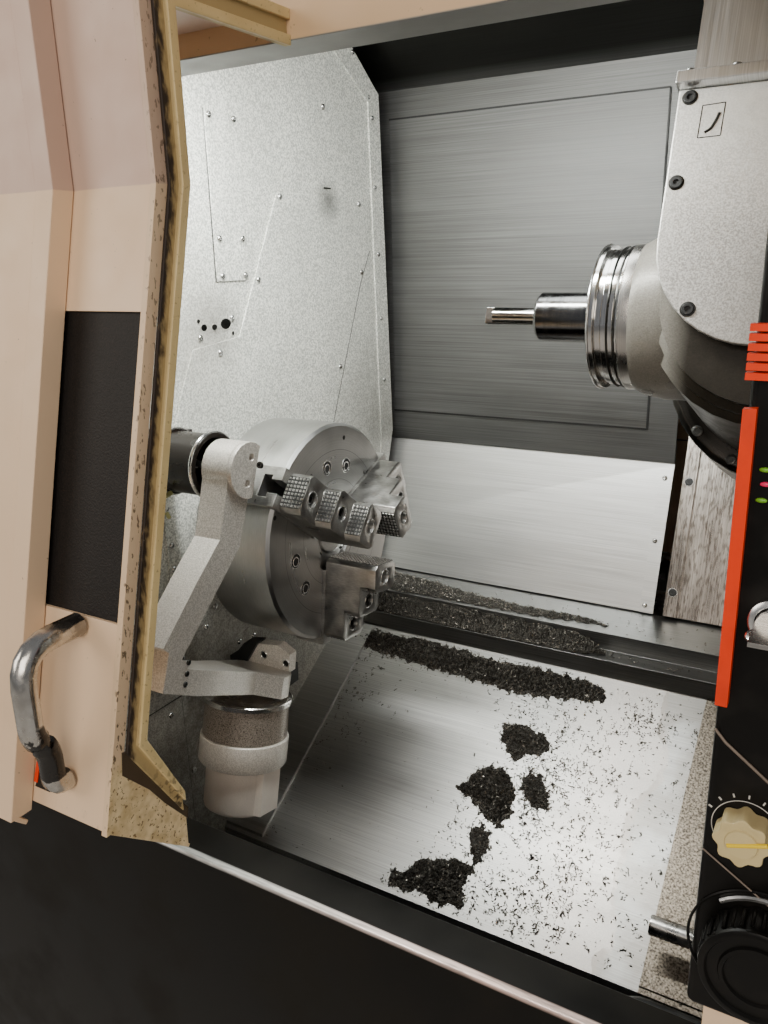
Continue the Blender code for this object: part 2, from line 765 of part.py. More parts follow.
def build_casing(base):
    """End casings, the roof sheet that runs down the rear, front skirt and top beam."""
    gap = SEAT + SEAT
    for name, low, high, front, turn_z in (
            ("left_casing", -LEFT_END, -WALL_FACE - CASING_LAP, CASING_FRONT, 1.0),
            ("right_casing", OPENING_RIGHT, RIGHT_END, RIGHT_FRONT, -1.0)):
        outline = [(y * turn_z, z) for y, z in casing_outline(front)]
        mesh = prism_mesh(name, outline, -(high - low) / 2, (high - low) / 2, True)
        shell = add_mesh(name, mesh, base, CREAM, ((low + high) / 2, 0.0, 0.0),
                         (math.pi / 2, 0.0, turn_z * math.pi / 2))
        wall = shell.modifiers.new("wall", "SOLIDIFY")
        wall.thickness = SHEET
        wall.offset = -1.0
        wall.use_even_offset = True
        start, end = (low + SHEET, high + OVERRUN) if turn_z > 0 else (low - OVERRUN, high - SHEET)
        cut(shell, add_block(
            name + "_floor_cut", (start, -front + SHEET, FLOOR),
            (end, REAR_DEPTH - SHEET, FLOOR + CASING_BOTTOM_GAP + OVERRUN), base))
    left = -WALL_FACE - CASING_LAP + SEAT
    right = OPENING_RIGHT - SEAT
    folded_sheet("roof_cover", casing_outline(CASING_FRONT)[3:8], left, right, SHEET, base, CREAM,
                 side=-1.0)
    line = [(-CASING_FRONT - SEAT, -SKIRT_TOP - SKIRT_TUCK), (-CASING_FRONT - SEAT, -SKIRT_TOP),
            (-SKIRT_FACE, -SKIRT_TOP), (-SKIRT_FACE, -SKIRT_BEND),
            (-CASING_FRONT - SHEET - gap, -SKIRT_FOOT)]
    skirt = folded_sheet("front_skirt", line, -LEFT_END, RIGHT_END, SHEET, base, BLACK, side=1.0)
    cut(skirt, add_block("skirt_notch", (OPENING_RIGHT - SEAT, -RIGHT_FRONT - SEAT, FLOOR),
                         (RIGHT_END + OVERRUN, 0.0, 0.0), base))
    add_prism("top_beam", [
        (-BEAM_FRONT, BEAM_FOOT), (-BEAM_FRONT, BEAM_FOOT + BEAM_HEIGHT),
        (-STEP_DEPTH - SEAT, SHOULDER_HEIGHT), (-STEP_DEPTH - SEAT, BEAM_FOOT + SHEET),
        (-STEP_DEPTH + BEAM_FLANGE, BEAM_FOOT + SHEET), (-STEP_DEPTH + BEAM_FLANGE, BEAM_FOOT)],
        -WALL_FACE + SEAT, right, base, CREAM)


def build_fixed_panel(base):
    """The fixed panel at the left of the door, with its raised edge and left end plate."""
    foot = -FIXED_PANEL_DROP
    front = front_line(FIXED_PANEL_STAND, foot, FIXED_PANEL_TOP)
    under = (-CASING_FRONT - SEAT, foot - FIXED_PANEL_TURN)
    rear = (-STEP_DEPTH - SEAT, FIXED_PANEL_TOP)
    line = [(front[0][0] + FIXED_PANEL_TURN, under[1])] + front + [rear]
    panel = folded_sheet("front_left_panel", line, -LEFT_END, FIXED_PANEL_EDGE, SHEET, base, CREAM,
                         side=-1.0)
    cut(panel, add_block(
        "panel_notch", (-WALL_FACE - CASING_LAP - SEAT, -BEAM_FRONT - SEAT, BEAM_FOOT - OVERRUN),
        (FIXED_PANEL_EDGE + OVERRUN, 0.0, FIXED_PANEL_TOP + OVERRUN), base))
    plate = [under] + line + [(-STEP_DEPTH - SEAT, STEP_HEIGHT + SEAT),
                              (-CASING_FRONT - SEAT, STEP_HEIGHT + SEAT)]
    join(panel, add_prism("panel_end_plate", plate, -LEFT_END, -LEFT_END + SHEET, base))
    rim = front_line(FIXED_PANEL_STAND + FIXED_RIM_PROUD, foot, FIXED_PANEL_TOP)
    band = rim + [(y + FIXED_RIM_DEEP, z) for y, z in reversed(rim)]
    join(panel, add_prism("panel_rim", band, FIXED_PANEL_EDGE - FIXED_RIM_WIDTH, FIXED_PANEL_EDGE,
                          base))


def build_door(door):
    """The sliding door: skin with raised edges and end gusset, window, leading frame and handle."""
    skin = front_line(DOOR_STAND, -BELLY_HEIGHT, DOOR_TOP)
    line = [(-UNDERSIDE_Y, -UNDERSIDE_Z)] + skin + [(-TOP_LEG_REAR, DOOR_TOP)]
    left = DOOR_EDGE - DOOR_WIDTH
    panel = folded_sheet("door_panel", line, left, DOOR_EDGE, DOOR_SKIN, door, CREAM, side=-1.0)
    rim = front_line(DOOR_STAND + RIM_PROUD, -BELLY_HEIGHT, DOOR_TOP)
    band = rim + [(y + RIM_DEEP, z) for y, z in reversed(rim)]
    for name, low, high in (("left", left, left + RIM_WIDTH), ("right", DOOR_EDGE - RIM_WIDTH, DOOR_EDGE)):
        join(panel, add_prism("door_rim_" + name, band, low, high, door))
    gusset = [(-UNDERSIDE_Y, -UNDERSIDE_Z), skin[0], front_line(DOOR_STAND, -GUSSET_TOP_Z, DOOR_TOP)[0],
              (-GUSSET_REAR_Y + DOOR_SKIN, -GUSSET_REAR_Z)]
    join(panel, add_prism("door_gusset", gusset, DOOR_EDGE - DOOR_SKIN, DOOR_EDGE, door))
    cut(panel, add_block("window_hole", (-WINDOW_LEFT, -DOOR_PLANE - WINDOW_TOP, WINDOW_FOOT),
                         (WINDOW_RIGHT, -DOOR_PLANE + DOOR_STAND, WINDOW_TOP), door))
    shift = (DOOR_SKIN + SEAT) * math.hypot(1.0, LEAN_SHARE)
    pane = []
    for z in (WINDOW_FOOT - RIM_WIDTH, WINDOW_TOP + RIM_WIDTH):
        pane.append((front_line(DOOR_STAND, z, DOOR_TOP)[0][0] + shift, z))
    pane = pane + [(y + WINDOW_GLASS, z) for y, z in reversed(pane)]
    add_prism("door_window", pane, -WINDOW_LEFT - RIM_WIDTH, DOOR_EDGE - RIM_WIDTH - SEAT - SEAT, door,
              GLASS)
    build_door_frame(door)
    build_handle(door)


def frame_band(width, leg_width):
    """The outline of the leading frame, or of its lip, kept to its inner edge."""
    inner = [
        (-FRAME_FOOT_Y, -FRAME_FOOT_Z), (-FRAME_TURN_Y, FRAME_TURN_Z), (-FRAME_KNEE_Y, KNEE_HEIGHT),
        (-FRAME_KNEE_Y, FRAME_TOP_LEG_Z), (-TOP_LEG_REAR, FRAME_TOP_LEG_Z)]
    top = FRAME_TOP_LEG_Z + leg_width
    outer = [
        (-TOP_LEG_REAR, top), (-FRAME_KNEE_Y - width, top), (-FRAME_KNEE_Y - width, KNEE_HEIGHT),
        (-FRAME_TURN_Y - width, FRAME_TURN_Z - width * FRAME_TURN_DROP_SHARE),
        (-FRAME_FOOT_Y, -FRAME_FOOT_Z - width * FRAME_FOOT_DROP_SHARE)]
    return inner + outer


def build_door_frame(door):
    """The leading frame of the door with a raised lip along its inner edge, turned in at its foot."""
    low = DOOR_EDGE + SEAT
    plate = low + FRAME_PLATE
    frame = add_prism("door_frame", frame_band(FRAME_DEPTH, DOOR_TOP - FRAME_TOP_LEG_Z), low, plate,
                      door, STAINED)
    join(frame, add_prism("frame_lip", frame_band(FRAME_LIP_WIDTH, FRAME_LIP_WIDTH), low,
                          plate + FRAME_LIP_PROUD, door))
    rail = DOOR_TOP - FRAME_LIP_WIDTH
    join(frame, add_block("frame_top_rail", (low, -FRAME_KNEE_Y - FRAME_LIP_WIDTH, rail),
                          (plate + FRAME_LIP_PROUD, -TOP_LEG_REAR, DOOR_TOP), door))


def build_handle(door):
    """The bow handle, with a step in towards the door at its foot."""
    top_y = front_line(DOOR_STAND, HANDLE_TOP, DOOR_TOP)[0][0] - LEAN_SHARE * HANDLE_TUBE - SEAT
    foot_y = front_line(DOOR_STAND, -HANDLE_FOOT, DOOR_TOP)[0][0] - LEAN_SHARE * HANDLE_TUBE - SEAT
    points = [
        (HANDLE_X, top_y, HANDLE_TOP), (HANDLE_X, -HANDLE_BOW, HANDLE_TOP),
        (HANDLE_X, -HANDLE_BOW, HANDLE_BOW_FOOT), (HANDLE_X, -HANDLE_KINK_Y, HANDLE_KINK_Z),
        (HANDLE_X, -HANDLE_KINK_Y, -HANDLE_FOOT), (HANDLE_X, foot_y, -HANDLE_FOOT)]
    bends = (HANDLE_BEND, HANDLE_TIGHT_BEND, HANDLE_TIGHT_BEND, HANDLE_TIGHT_BEND)
    tube_piece("door_handle", rounded_path(points, bends), HANDLE_TUBE, door, CHROME)


def build_bed(base):
    """Bed casting with its headstock pedestal, feet, guideways and ball screw."""
    bed = add_prism("bed_casting", bed_outline(), -BED_LEFT, BED_RIGHT, base, MACHINE_GREY)
    join(bed, add_block("pedestal", (-BED_LEFT + OVERRUN, -PEDESTAL_FRONT, -BED_FRONT_TOP - OVERRUN),
                        (-PEDESTAL_END, PEDESTAL_REAR, -PEDESTAL_TOP), base))
    profile = [
        (0.0, BED_FOOT_GAP + OVERRUN), (STUD_RADIUS, BED_FOOT_GAP + OVERRUN), (STUD_RADIUS, PAD_THICK),
        (PAD_RADIUS, PAD_THICK / 2), (PAD_RADIUS, 0.0), (0.0, 0.0)]
    for x in (-BED_LEFT + PAD_INSET, (BED_RIGHT - BED_LEFT) / 2, BED_RIGHT - PAD_INSET):
        for y in (-BED_FRONT + PAD_INSET, REAR_DEPTH - PAD_INSET):
            join(bed, turned_piece("foot", profile, base, place=(x, y, FLOOR), sides=SMALL_ROUND))
    for name, y in (("front_guideway", WAY_FRONT_Y), ("rear_guideway", WAY_REAR_Y)):
        add_block(name, (-WAY_LEFT, y - WAY_WIDTH / 2, -BED_REAR_TOP + SEAT),
                  (WAY_RIGHT, y + WAY_WIDTH / 2, -BED_REAR_TOP + WAY_HEIGHT + SEAT), base, STEEL)
    height = SCREW_LIFT - BED_REAR_TOP
    screw = add_rod("ball_screw", SCREW_RADIUS, -WAY_LEFT, WAY_LEFT + WAY_RIGHT, base, STEEL,
                    (0.0, SCREW_Y, height), sides=COARSE)
    for name, x in (("screw_block_left", -WAY_LEFT), ("screw_block_right", WAY_RIGHT)):
        join(screw, add_block(name, (x - SCREW_BLOCK, SCREW_Y - SCREW_BLOCK, -BED_REAR_TOP + SEAT),
                              (x + SCREW_BLOCK, SCREW_Y + SCREW_BLOCK, height + SCREW_BLOCK), base))


def build_headstock(base, chuck):
    """Headstock housing and the spindle with its chuck cylinder."""
    half = HEADSTOCK_HALF
    side = half - HEADSTOCK_CHAMFER
    outline = [(-half, -half), (-half, side), (-side, half), (side, half), (half, side), (half, -half)]
    right = -WALL_FACE - WALL_SHEET - SEAT
    housing = add_prism("headstock_housing", outline, -HEADSTOCK_LEFT, right, base, MACHINE_GREY)
    cut(housing, add_rod("housing_bore", HEADSTOCK_BORE, -HEADSTOCK_LEFT - OVERRUN,
                         HEADSTOCK_LEFT, base))
    nose = -CHUCK_LENGTH - SEAT
    profile = [
        (0.0, nose), (NOSE_RADIUS, nose), (NOSE_RADIUS, nose - NOSE_LENGTH),
        (SHAFT_RADIUS, nose - NOSE_LENGTH), (SHAFT_RADIUS, -SHAFT_TAIL), (0.0, -SHAFT_TAIL)]
    turned_piece("spindle_shaft", profile, chuck, STEEL, turn=TURNED_X, sides=COARSE)
    tail = -SHAFT_TAIL - SEAT
    profile = [
        (0.0, tail), (CYLINDER_RADIUS, tail), (CYLINDER_RADIUS, tail - CYLINDER_LENGTH),
        (0.0, tail - CYLINDER_LENGTH)]
    turned_piece("chuck_cylinder", profile, chuck, MACHINE_GREY, turn=TURNED_X, sides=COARSE)


def build_wall(base):
    """Headstock wall with its screwed plates, and the wall that closes the right end."""
    wall = add_prism("headstock_wall", wall_outline(), -WALL_FACE - WALL_SHEET, -WALL_FACE, base,
                     GALVANISED)
    cut(wall, add_rod("nose_hole", SHAFT_RADIUS + NOSE_CLEAR, -WALL_FACE - WALL_SHEET - OVERRUN,
                      WALL_SHEET + OVERRUN + OVERRUN, base))
    face = -WALL_FACE + SEAT
    add_prism("small_wall_plate", SMALL_PLATE, face, face + PLATE_SHEET, base, GALVANISED)
    big = add_prism("big_wall_plate", BIG_PLATE, face, face + PLATE_SHEET, base, GALVANISED)
    cut(big, add_rod("plate_hole", SHAFT_RADIUS + NOSE_CLEAR, -WALL_FACE - OVERRUN, OVERRUN + OVERRUN,
                     base))
    join(wall, add_prism("edge_strip", EDGE_STRIP, -WALL_FACE - WALL_SHEET / 2, face + PLATE_SHEET,
                         base))
    add_prism("right_inner_wall", wall_outline(), RIGHT_WALL, RIGHT_WALL + WALL_SHEET, base, GALVANISED)


def build_chuck(chuck):
    """Chuck body with radial slots and face screws, its centre cap, and three stepped jaws."""
    profile = [
        (0.0, -CAP_THICK - CAP_RECESS), (CHUCK_BORE, -CAP_THICK - CAP_RECESS), (CHUCK_BORE, 0.0),
        (CHUCK_RADIUS - CHUCK_EDGE, 0.0), (CHUCK_RADIUS, -CHUCK_EDGE),
        (CHUCK_RADIUS, -CHUCK_LENGTH + CHUCK_EDGE), (CHUCK_RADIUS - CHUCK_EDGE, -CHUCK_LENGTH),
        (0.0, -CHUCK_LENGTH)]
    body = turned_piece("chuck_body", profile, chuck, STEEL, turn=TURNED_X, sides=CHUCK_ROUND)
    top = -CAP_RECESS
    profile = [
        (0.0, top), (CAP_STEP, top), (CAP_STEP + CAP_RECESS / 2, top - CAP_RECESS / 2),
        (CAP_RADIUS, top - CAP_RECESS / 2), (CAP_RADIUS, SEAT - CAP_THICK - CAP_RECESS),
        (0.0, SEAT - CAP_THICK - CAP_RECESS)]
    turned_piece("chuck_cap", profile, chuck, DARK_STEEL, turn=TURNED_X, sides=COARSE)
    for number in range(JAW_COUNT):
        turn = math.radians(CHUCK_TURN_DEG) + 2 * math.pi * number / JAW_COUNT
        carrier = add_empty("jaw_%d" % (number + 1), chuck, turn=(turn, 0.0, 0.0))
        half = JAW_WIDTH / 2 + SEAT
        cut(body, add_block("jaw_slot", (-MASTER_DEPTH - SEAT, SLOT_INNER, -half),
                            (OVERRUN, CHUCK_RADIUS + OVERRUN, half), carrier))
        for side in (-1.0, 1.0):
            angle = math.pi / JAW_COUNT + side * math.radians(FACE_BOLT_SPREAD_DEG)
            place = (0.0, FACE_BOLT_CIRCLE * math.cos(angle), FACE_BOLT_CIRCLE * math.sin(angle))
            cut(body, add_rod("face_hole", FACE_BOLT_RADIUS, -FACE_BOLT_DEPTH,
                              FACE_BOLT_DEPTH + OVERRUN, carrier, place=place, sides=COARSE))
        build_jaw(carrier, number + 1)


def build_jaw(carrier, number):
    """A master jaw with its tee slot and a top jaw stepped down to the outside, knurled on its steps."""
    half = JAW_WIDTH / 2
    master = add_block("master_jaw_%d" % number, (-MASTER_DEPTH, MASTER_INNER, -half),
                       (MASTER_PROUD, MASTER_OUTER, half), carrier, DARK_STEEL)
    cut(master, add_block("tee_neck", (-TEE_TOP, 0.0, -TEE_NECK / 2),
                          (OVERRUN, MASTER_OUTER + OVERRUN, TEE_NECK / 2), carrier))
    cut(master, add_block("tee_slot", (-TEE_DEPTH, 0.0, -TEE_WIDTH / 2),
                          (-TEE_TOP + MERGE, MASTER_OUTER + OVERRUN, TEE_WIDTH / 2), carrier))
    base = MASTER_PROUD + SEAT
    outline = [(base, JAW_INNER)]
    faces = []
    for step in (2, 1, 0):
        height = MASTER_PROUD + JAW_FOOT_RISE + MASTER_PROUD + step * JAW_RISE
        edge = JAW_INNER + (JAW_COUNT - step) * JAW_STEP
        outline.append((height, edge - JAW_STEP))
        outline.append((height, edge))
        faces.append(edge)
    outline.append((base, faces[-1]))
    mesh = prism_mesh("top_jaw_%d" % number, outline, -half, half)
    knurl(mesh, faces, half)
    jaw = add_mesh("top_jaw_%d" % number, mesh, carrier, STEEL)
    for step in (2, 1, 0):
        height = MASTER_PROUD + JAW_FOOT_RISE + MASTER_PROUD + step * JAW_RISE
        middle = JAW_INNER + (JAW_COUNT - step) * JAW_STEP - JAW_STEP / 2
        cut(jaw, add_rod("jaw_hole", JAW_BOLT_RADIUS, height - JAW_BOLT_DEPTH, JAW_BOLT_DEPTH + OVERRUN,
                         carrier, place=(0.0, middle, 0.0), sides=COARSE))


def knurl(mesh, edges, half):
    """Raises rows of small pyramids on the faces at the outer edge of each step."""
    form = bmesh.new()
    form.from_mesh(mesh)
    for edge in edges:
        found = [f for f in form.faces if all(abs(v.co.y - edge) < MERGE for v in f.verts)]
        low = min(v.co.x for f in found for v in f.verts)
        high = max(v.co.x for f in found for v in f.verts)
        cuts = []
        for row in range(1, KNURL_ROWS):
            cuts.append(((low + (high - low) * row / KNURL_ROWS, 0.0, 0.0), (1.0, 0.0, 0.0)))
        for column in range(1, KNURL_COLUMNS):
            cuts.append(((0.0, 0.0, -half + 2 * half * column / KNURL_COLUMNS), (0.0, 0.0, 1.0)))
        for place, normal in cuts:
            found = [f for f in form.faces if all(abs(v.co.y - edge) < MERGE for v in f.verts)]
            geometry = set(found)
            for face in found:
                geometry.update(face.edges)
                geometry.update(face.verts)
            bmesh.ops.bisect_plane(form, geom=list(geometry), plane_co=place, plane_no=normal)
        found = [f for f in form.faces if all(abs(v.co.y - edge) < MERGE for v in f.verts)]
        bmesh.ops.recalc_face_normals(form, faces=form.faces)
        bmesh.ops.poke(form, faces=found, offset=KNURL_HEIGHT, center_mode="MEAN")
    form.to_mesh(mesh)
    form.free()


def build_guards(base):
    """Chip slide with its raised edges, rear ledge with its channel, and chip trough."""
    low = -WALL_FACE + SEAT
    high = RIGHT_WALL - SEAT
    top = (SLIDE_TOP_Y + SLIDE_LAP, -SLIDE_TOP_Z + SLIDE_SHARE * SLIDE_LAP)
    line = [top, (-SLIDE_FOOT_Y, -SLIDE_FOOT_Z), (-SLIDE_FOOT_Y, -SLIDE_FOOT_Z - SLIDE_APRON)]
    slide = folded_sheet("chip_slide", line, low, high, SLIDE_SHEET, base, GALVANISED, side=1.0)
    for name, start, end, rise in (
            ("slide_strip", low + MERGE, -SLIDE_STRIP_END, SLIDE_STRIP_RISE),
            ("slide_right", SLIDE_SEAM, high - MERGE, SLIDE_SEAM_RISE)):
        under = SLIDE_SHEET / 2
        outline = [
            (SLIDE_TOP_Y - SLIDE_LAP, -SLIDE_TOP_Z - SLIDE_SHARE * SLIDE_LAP + rise),
            (-SLIDE_FOOT_Y + SLIDE_LAP, -SLIDE_FOOT_Z + SLIDE_SHARE * SLIDE_LAP + rise),
            (-SLIDE_FOOT_Y + SLIDE_LAP, -SLIDE_FOOT_Z + SLIDE_SHARE * SLIDE_LAP - under),
            (SLIDE_TOP_Y - SLIDE_LAP, -SLIDE_TOP_Z - SLIDE_SHARE * SLIDE_LAP - under)]
        join(slide, add_prism(name, outline, start, end, base))
    channel = SLIDE_TOP_Y + CHANNEL_WIDTH
    line = [
        (SLIDE_TOP_Y, -RAIL_FOOT), (SLIDE_TOP_Y, -RAIL_TOP), (channel, -RAIL_TOP),
        (channel, -LEDGE_TOP), (LEDGE_REAR, -LEDGE_TOP), (LEDGE_REAR, -BED_REAR_TOP + SEAT)]
    folded_sheet("rear_ledge", line, low, high, LEDGE_SHEET, base, GALVANISED, side=-1.0)
    line = [
        (-TROUGH_FRONT, -TROUGH_LIP), (-TROUGH_FRONT, -TROUGH_DEPTH), (-TROUGH_REAR, -TROUGH_DEPTH),
        (-TROUGH_REAR, -TROUGH_REAR_TOP)]
    folded_sheet("chip_trough", line, low, high, SHEET, base, BLACK, side=1.0)


def build_rear_covers(carriage):
    """The covers that travel with the column: rear wall with a seam and ceiling, and lean covers."""
    lap_y = REAR_PLANE + COVER_SHEET + SEAT
    lap_z = COVER_TOP + COVER_LEAN_SHARE * (lap_y - REAR_PLANE)
    ceiling_z = REAR_TOP + CEILING_RISE_SHARE * (REAR_PLANE - CEILING_FRONT)
    line = [(REAR_PLANE, lap_z + COVER_SEAM_GAP), (REAR_PLANE, REAR_TOP), (CEILING_FRONT, ceiling_z)]
    wall = folded_sheet("rear_wall_sheet", line, -COVER_LEFT, COVER_RIGHT, COVER_SHEET, carriage,
                        DARK_STEEL, side=-1.0)
    join(wall, add_block("rear_seam", (-SEAM_LEFT, REAR_PLANE - SEAM_RAISE, SEAM_FOOT),
                         (SEAM_RIGHT, REAR_PLANE + SEAT, SEAM_TOP), carriage))
    rib_y = REAR_PLANE + COVER_SHEET / 2
    join(wall, add_block("rear_rib", (-COVER_LEFT + OVERRUN, rib_y, RIB_HEIGHT),
                         (HEAD_X - COLUMN_SHEET_HALF - SEAT, REAR_PLANE + RIB_DEPTH,
                          RIB_HEIGHT + RIB_WIDTH), carriage))
    foot = (COVER_FOOT_Y, -COVER_FOOT_Z)
    line = [foot, (lap_y, lap_z), (lap_y, lap_z + COVER_LAP)]
    cover = folded_sheet("rear_lower_cover", line, -COVER_LEFT, COVER_RIGHT, COVER_SHEET, carriage,
                         STEEL, side=-1.0)
    half = COVER_SHEET / 2
    flange = [
        (COVER_FOOT_Y - half, -COVER_FOOT_Z + SEAT), (REAR_PLANE - half, COVER_TOP),
        (REAR_PLANE + half, COVER_TOP), (COVER_FOOT_Y + half, -COVER_FOOT_Z + SEAT)]
    join(cover, add_prism("cover_flange", flange, COVER_RIGHT - FLANGE_WIDTH, COVER_RIGHT - MERGE,
                          carriage))
    line = [foot, (REAR_PLANE, COVER_TOP), (REAR_PLANE, REAR_TOP), (CEILING_FRONT, ceiling_z)]
    right = folded_sheet("right_rear_cover", line, RIGHT_COVER_LEFT, RIGHT_COVER_RIGHT, COVER_SHEET,
                         carriage, DARK_STEEL, side=-1.0)
    join(right, add_block("right_rib", (HEAD_X + COLUMN_SHEET_HALF + SEAT, rib_y, RIB_HEIGHT),
                          (RIGHT_COVER_RIGHT - OVERRUN, REAR_PLANE + RIB_DEPTH,
                           RIB_HEIGHT + RIB_WIDTH), carriage))


def slanted_point(v, n):
    """Y and Z of a place in the slanted frame of the milling head."""
    return (v * math.sin(SLANT) - n * math.cos(SLANT),
            HEAD_Z + v * math.cos(SLANT) + n * math.sin(SLANT))


def build_column(carriage):
    """The leaning column on its guideways, with its front cover."""
    share = math.sin(SLANT) / math.cos(SLANT)
    front = slanted_point(COLUMN_TOP, -COLUMN_FACE)
    outline = [
        (COLUMN_FRONT_Y, -COLUMN_FOOT), (COLUMN_FRONT_Y, front[1] - (front[0] - COLUMN_FRONT_Y) / share),
        front, slanted_point(COLUMN_TOP, -COLUMN_TOP_REAR), (COLUMN_REAR_Y, -COLUMN_FOOT)]
    column = add_prism("column_casting", outline, HEAD_X - COLUMN_HALF, HEAD_X + COLUMN_HALF, carriage,
                       MACHINE_GREY)
    cut(column, add_block(
        "screw_tunnel", (0.0, SCREW_Y - SCREW_TUNNEL, -COLUMN_FOOT - OVERRUN),
        (RIGHT_WALL, SCREW_Y + SCREW_TUNNEL, SCREW_LIFT - BED_REAR_TOP + SCREW_TUNNEL), carriage))
    low = -COLUMN_FACE + SEAT
    cover = add_block("column_front_cover", (-COLUMN_SHEET_HALF, -COLUMN_SHEET_FOOT, low),
                      (COLUMN_SHEET_HALF, COLUMN_SHEET_TOP, -COLUMN_SHEET_FACE), carriage, STEEL,
                      HEAD_PLACE, SLANTED)
    join(cover, add_block(
        "side_strip", (-COLUMN_SHEET_HALF + MERGE, -COLUMN_SHEET_FOOT + MERGE, low + MERGE),
        (-COLUMN_SHEET_HALF + SIDE_STRIP, COLUMN_SHEET_TOP - MERGE, SIDE_STRIP_RISE - COLUMN_SHEET_FACE),
        carriage, place=HEAD_PLACE, turn=SLANTED))


def build_saddle(saddle):
    """The saddle that carries the ram, with the ram's opening through it."""
    block = add_block("ram_saddle", (-SADDLE_HALF, COLUMN_TOP + SEAT, -SADDLE_REAR),
                      (SADDLE_HALF, SADDLE_TOP, SADDLE_FRONT), saddle, CAST_GREY,
                      HEAD_PLACE, SLANTED)
    half = RAM_HALF + RAM_CLEAR
    cut(block, add_block("ram_opening", (-half, 0.0, -RAM_REAR - RAM_CLEAR),
                         (half, SADDLE_TOP + OVERRUN, RAM_FRONT + RAM_CLEAR), saddle,
                         place=HEAD_PLACE, turn=SLANTED))


def cover_outline(grow):
    """The round-footed outline of the flat cover in front of the swivel drum."""
    half = COVER_HALF + grow
    radius = COVER_CORNER + grow
    middle = COVER_CORNER - COVER_FOOT
    inset = COVER_HALF - COVER_CORNER
    return ([(-half, COVER_HEAD)] + arc(-inset, middle, radius, 180, 270, 9)
            + arc(inset, middle, radius, 270, 360, 9) + [(half, COVER_HEAD)])


def build_ram(ram):
    """The ram with its back slab and cheek, its cap flange, the bearing ring and the flat cover."""
    tower = add_block("ram_tower", (-RAM_HALF, RAM_FOOT, -RAM_REAR), (RAM_HALF, RAM_TOP, RAM_FRONT), ram,
                      CAST_GREY, HEAD_PLACE, SLANTED)
    slab = (arc(0.0, 0.0, DISC_RADIUS, 180, 360, 20)
            + [(DISC_RADIUS, COVER_HEAD), (-DISC_RADIUS, COVER_HEAD)])
    join(tower, add_prism("ram_slab", slab, -RAM_REAR + MERGE, -SLAB_FRONT, ram, place=HEAD_PLACE,
                          turn=SLANTED))
    join(tower, add_block("ram_yoke", (-RAM_HALF + MERGE, YOKE_FOOT, 0.0),
                          (RAM_HALF - MERGE, COVER_HEAD, CHEEK_FRONT - MERGE), ram, place=HEAD_PLACE,
                          turn=SLANTED))
    join(tower, add_prism("ram_cheek", cover_outline(-DRUM_STEP / 2), CHEEK_BACK, CHEEK_FRONT, ram,
                          place=HEAD_PLACE, turn=SLANTED))
    cut(tower, add_rod("ring_seat", DISC_RADIUS + SEAT + SEAT, -SLAB_FRONT, SLAB_FRONT - DISC_FACE + SEAT,
                       ram, place=HEAD_PLACE, turn=SLANTED))
    add_prism("head_front_cover", cover_outline(0.0), CHEEK_FRONT + SEAT,
              CHEEK_FRONT + COVER_PLATE, ram, STEEL, HEAD_PLACE, SLANTED)
    top = COVER_HEAD + SEAT
    cap = add_block("ram_cap", (-CAP_HALF, top, -SLAB_FRONT), (CAP_HALF, top + CAP_PLATE,
                                                               RAM_FRONT + CAP_OVERHANG), ram,
                    CAST_GREY, HEAD_PLACE, SLANTED)
    half = RAM_HALF + SEAT
    cut(cap, add_block("cap_hole", (-half, 0.0, -RAM_REAR), (half, RAM_TOP, RAM_FRONT + SEAT), ram,
                       place=HEAD_PLACE, turn=SLANTED))
    profile = [
        (0.0, -DISC_FACE - SEAT), (DISC_RADIUS - DRUM_STEP / 2, -DISC_FACE - SEAT),
        (DISC_RADIUS, -DISC_FACE - DRUM_STEP / 2), (DISC_RADIUS, -DISC_BACK), (0.0, -DISC_BACK)]
    turned_piece("b_axis_ring", profile, ram, DARK_STEEL, HEAD_PLACE, SLANTED)


def build_head(head):
    """The swivel drum with its spindle nose casting and the ringed spindle collar."""
    step = DRUM_STEP / 2
    profile = [
        (0.0, DRUM_FRONT), (DRUM_RADIUS - 2 * step, DRUM_FRONT),
        (DRUM_RADIUS - 2 * step, DRUM_FRONT - step),
        (DRUM_RADIUS - step, DRUM_FRONT - 2 * step), (DRUM_RADIUS - step, DRUM_FRONT - 3 * step),
        (DRUM_RADIUS, DRUM_FRONT - 4 * step), (DRUM_RADIUS, -DRUM_BACK + step),
        (DRUM_RADIUS - step, -DRUM_BACK), (0.0, -DRUM_BACK)]
    drum = turned_piece("swivel_head", profile, head, CAST_GREY)
    tip = -COLLAR_BACK
    profile = [
        (0.0, 0.0), (NOSE_CAST_ROOT, 0.0), (NOSE_CAST_ROOT, tip + 4 * step),
        (NOSE_CAST_RADIUS, tip + step), (NOSE_CAST_RADIUS - step / 2, tip), (0.0, tip)]
    join(drum, turned_piece("nose_casting", profile, head, turn=TURNED_X))
    cut(drum, add_rod("spindle_bore", SPINDLE_BORE, tip - OVERRUN, OVERRUN + OVERRUN, head))
    front = -COLLAR_FRONT
    back = -COLLAR_BACK - SEAT
    third = (back - front) / 3
    groove = COLLAR_RADIUS - step / 2
    profile = [
        (SPINDLE_BORE, back), (COLLAR_RADIUS, back), (COLLAR_RADIUS, back - third), (groove, back - third),
        (groove, back - third - step / 4), (COLLAR_RADIUS - step / 4, back - third - step / 4),
        (COLLAR_RADIUS - step / 4, back - 2 * third), (groove, back - 2 * third),
        (groove, front + step), (COLLAR_RADIUS + step / 4, front + step),
        (COLLAR_RADIUS + step / 4, front), (SPINDLE_BORE, front)]
    turned_piece("spindle_collar", profile, head, CHROME, turn=TURNED_X, ring=True)


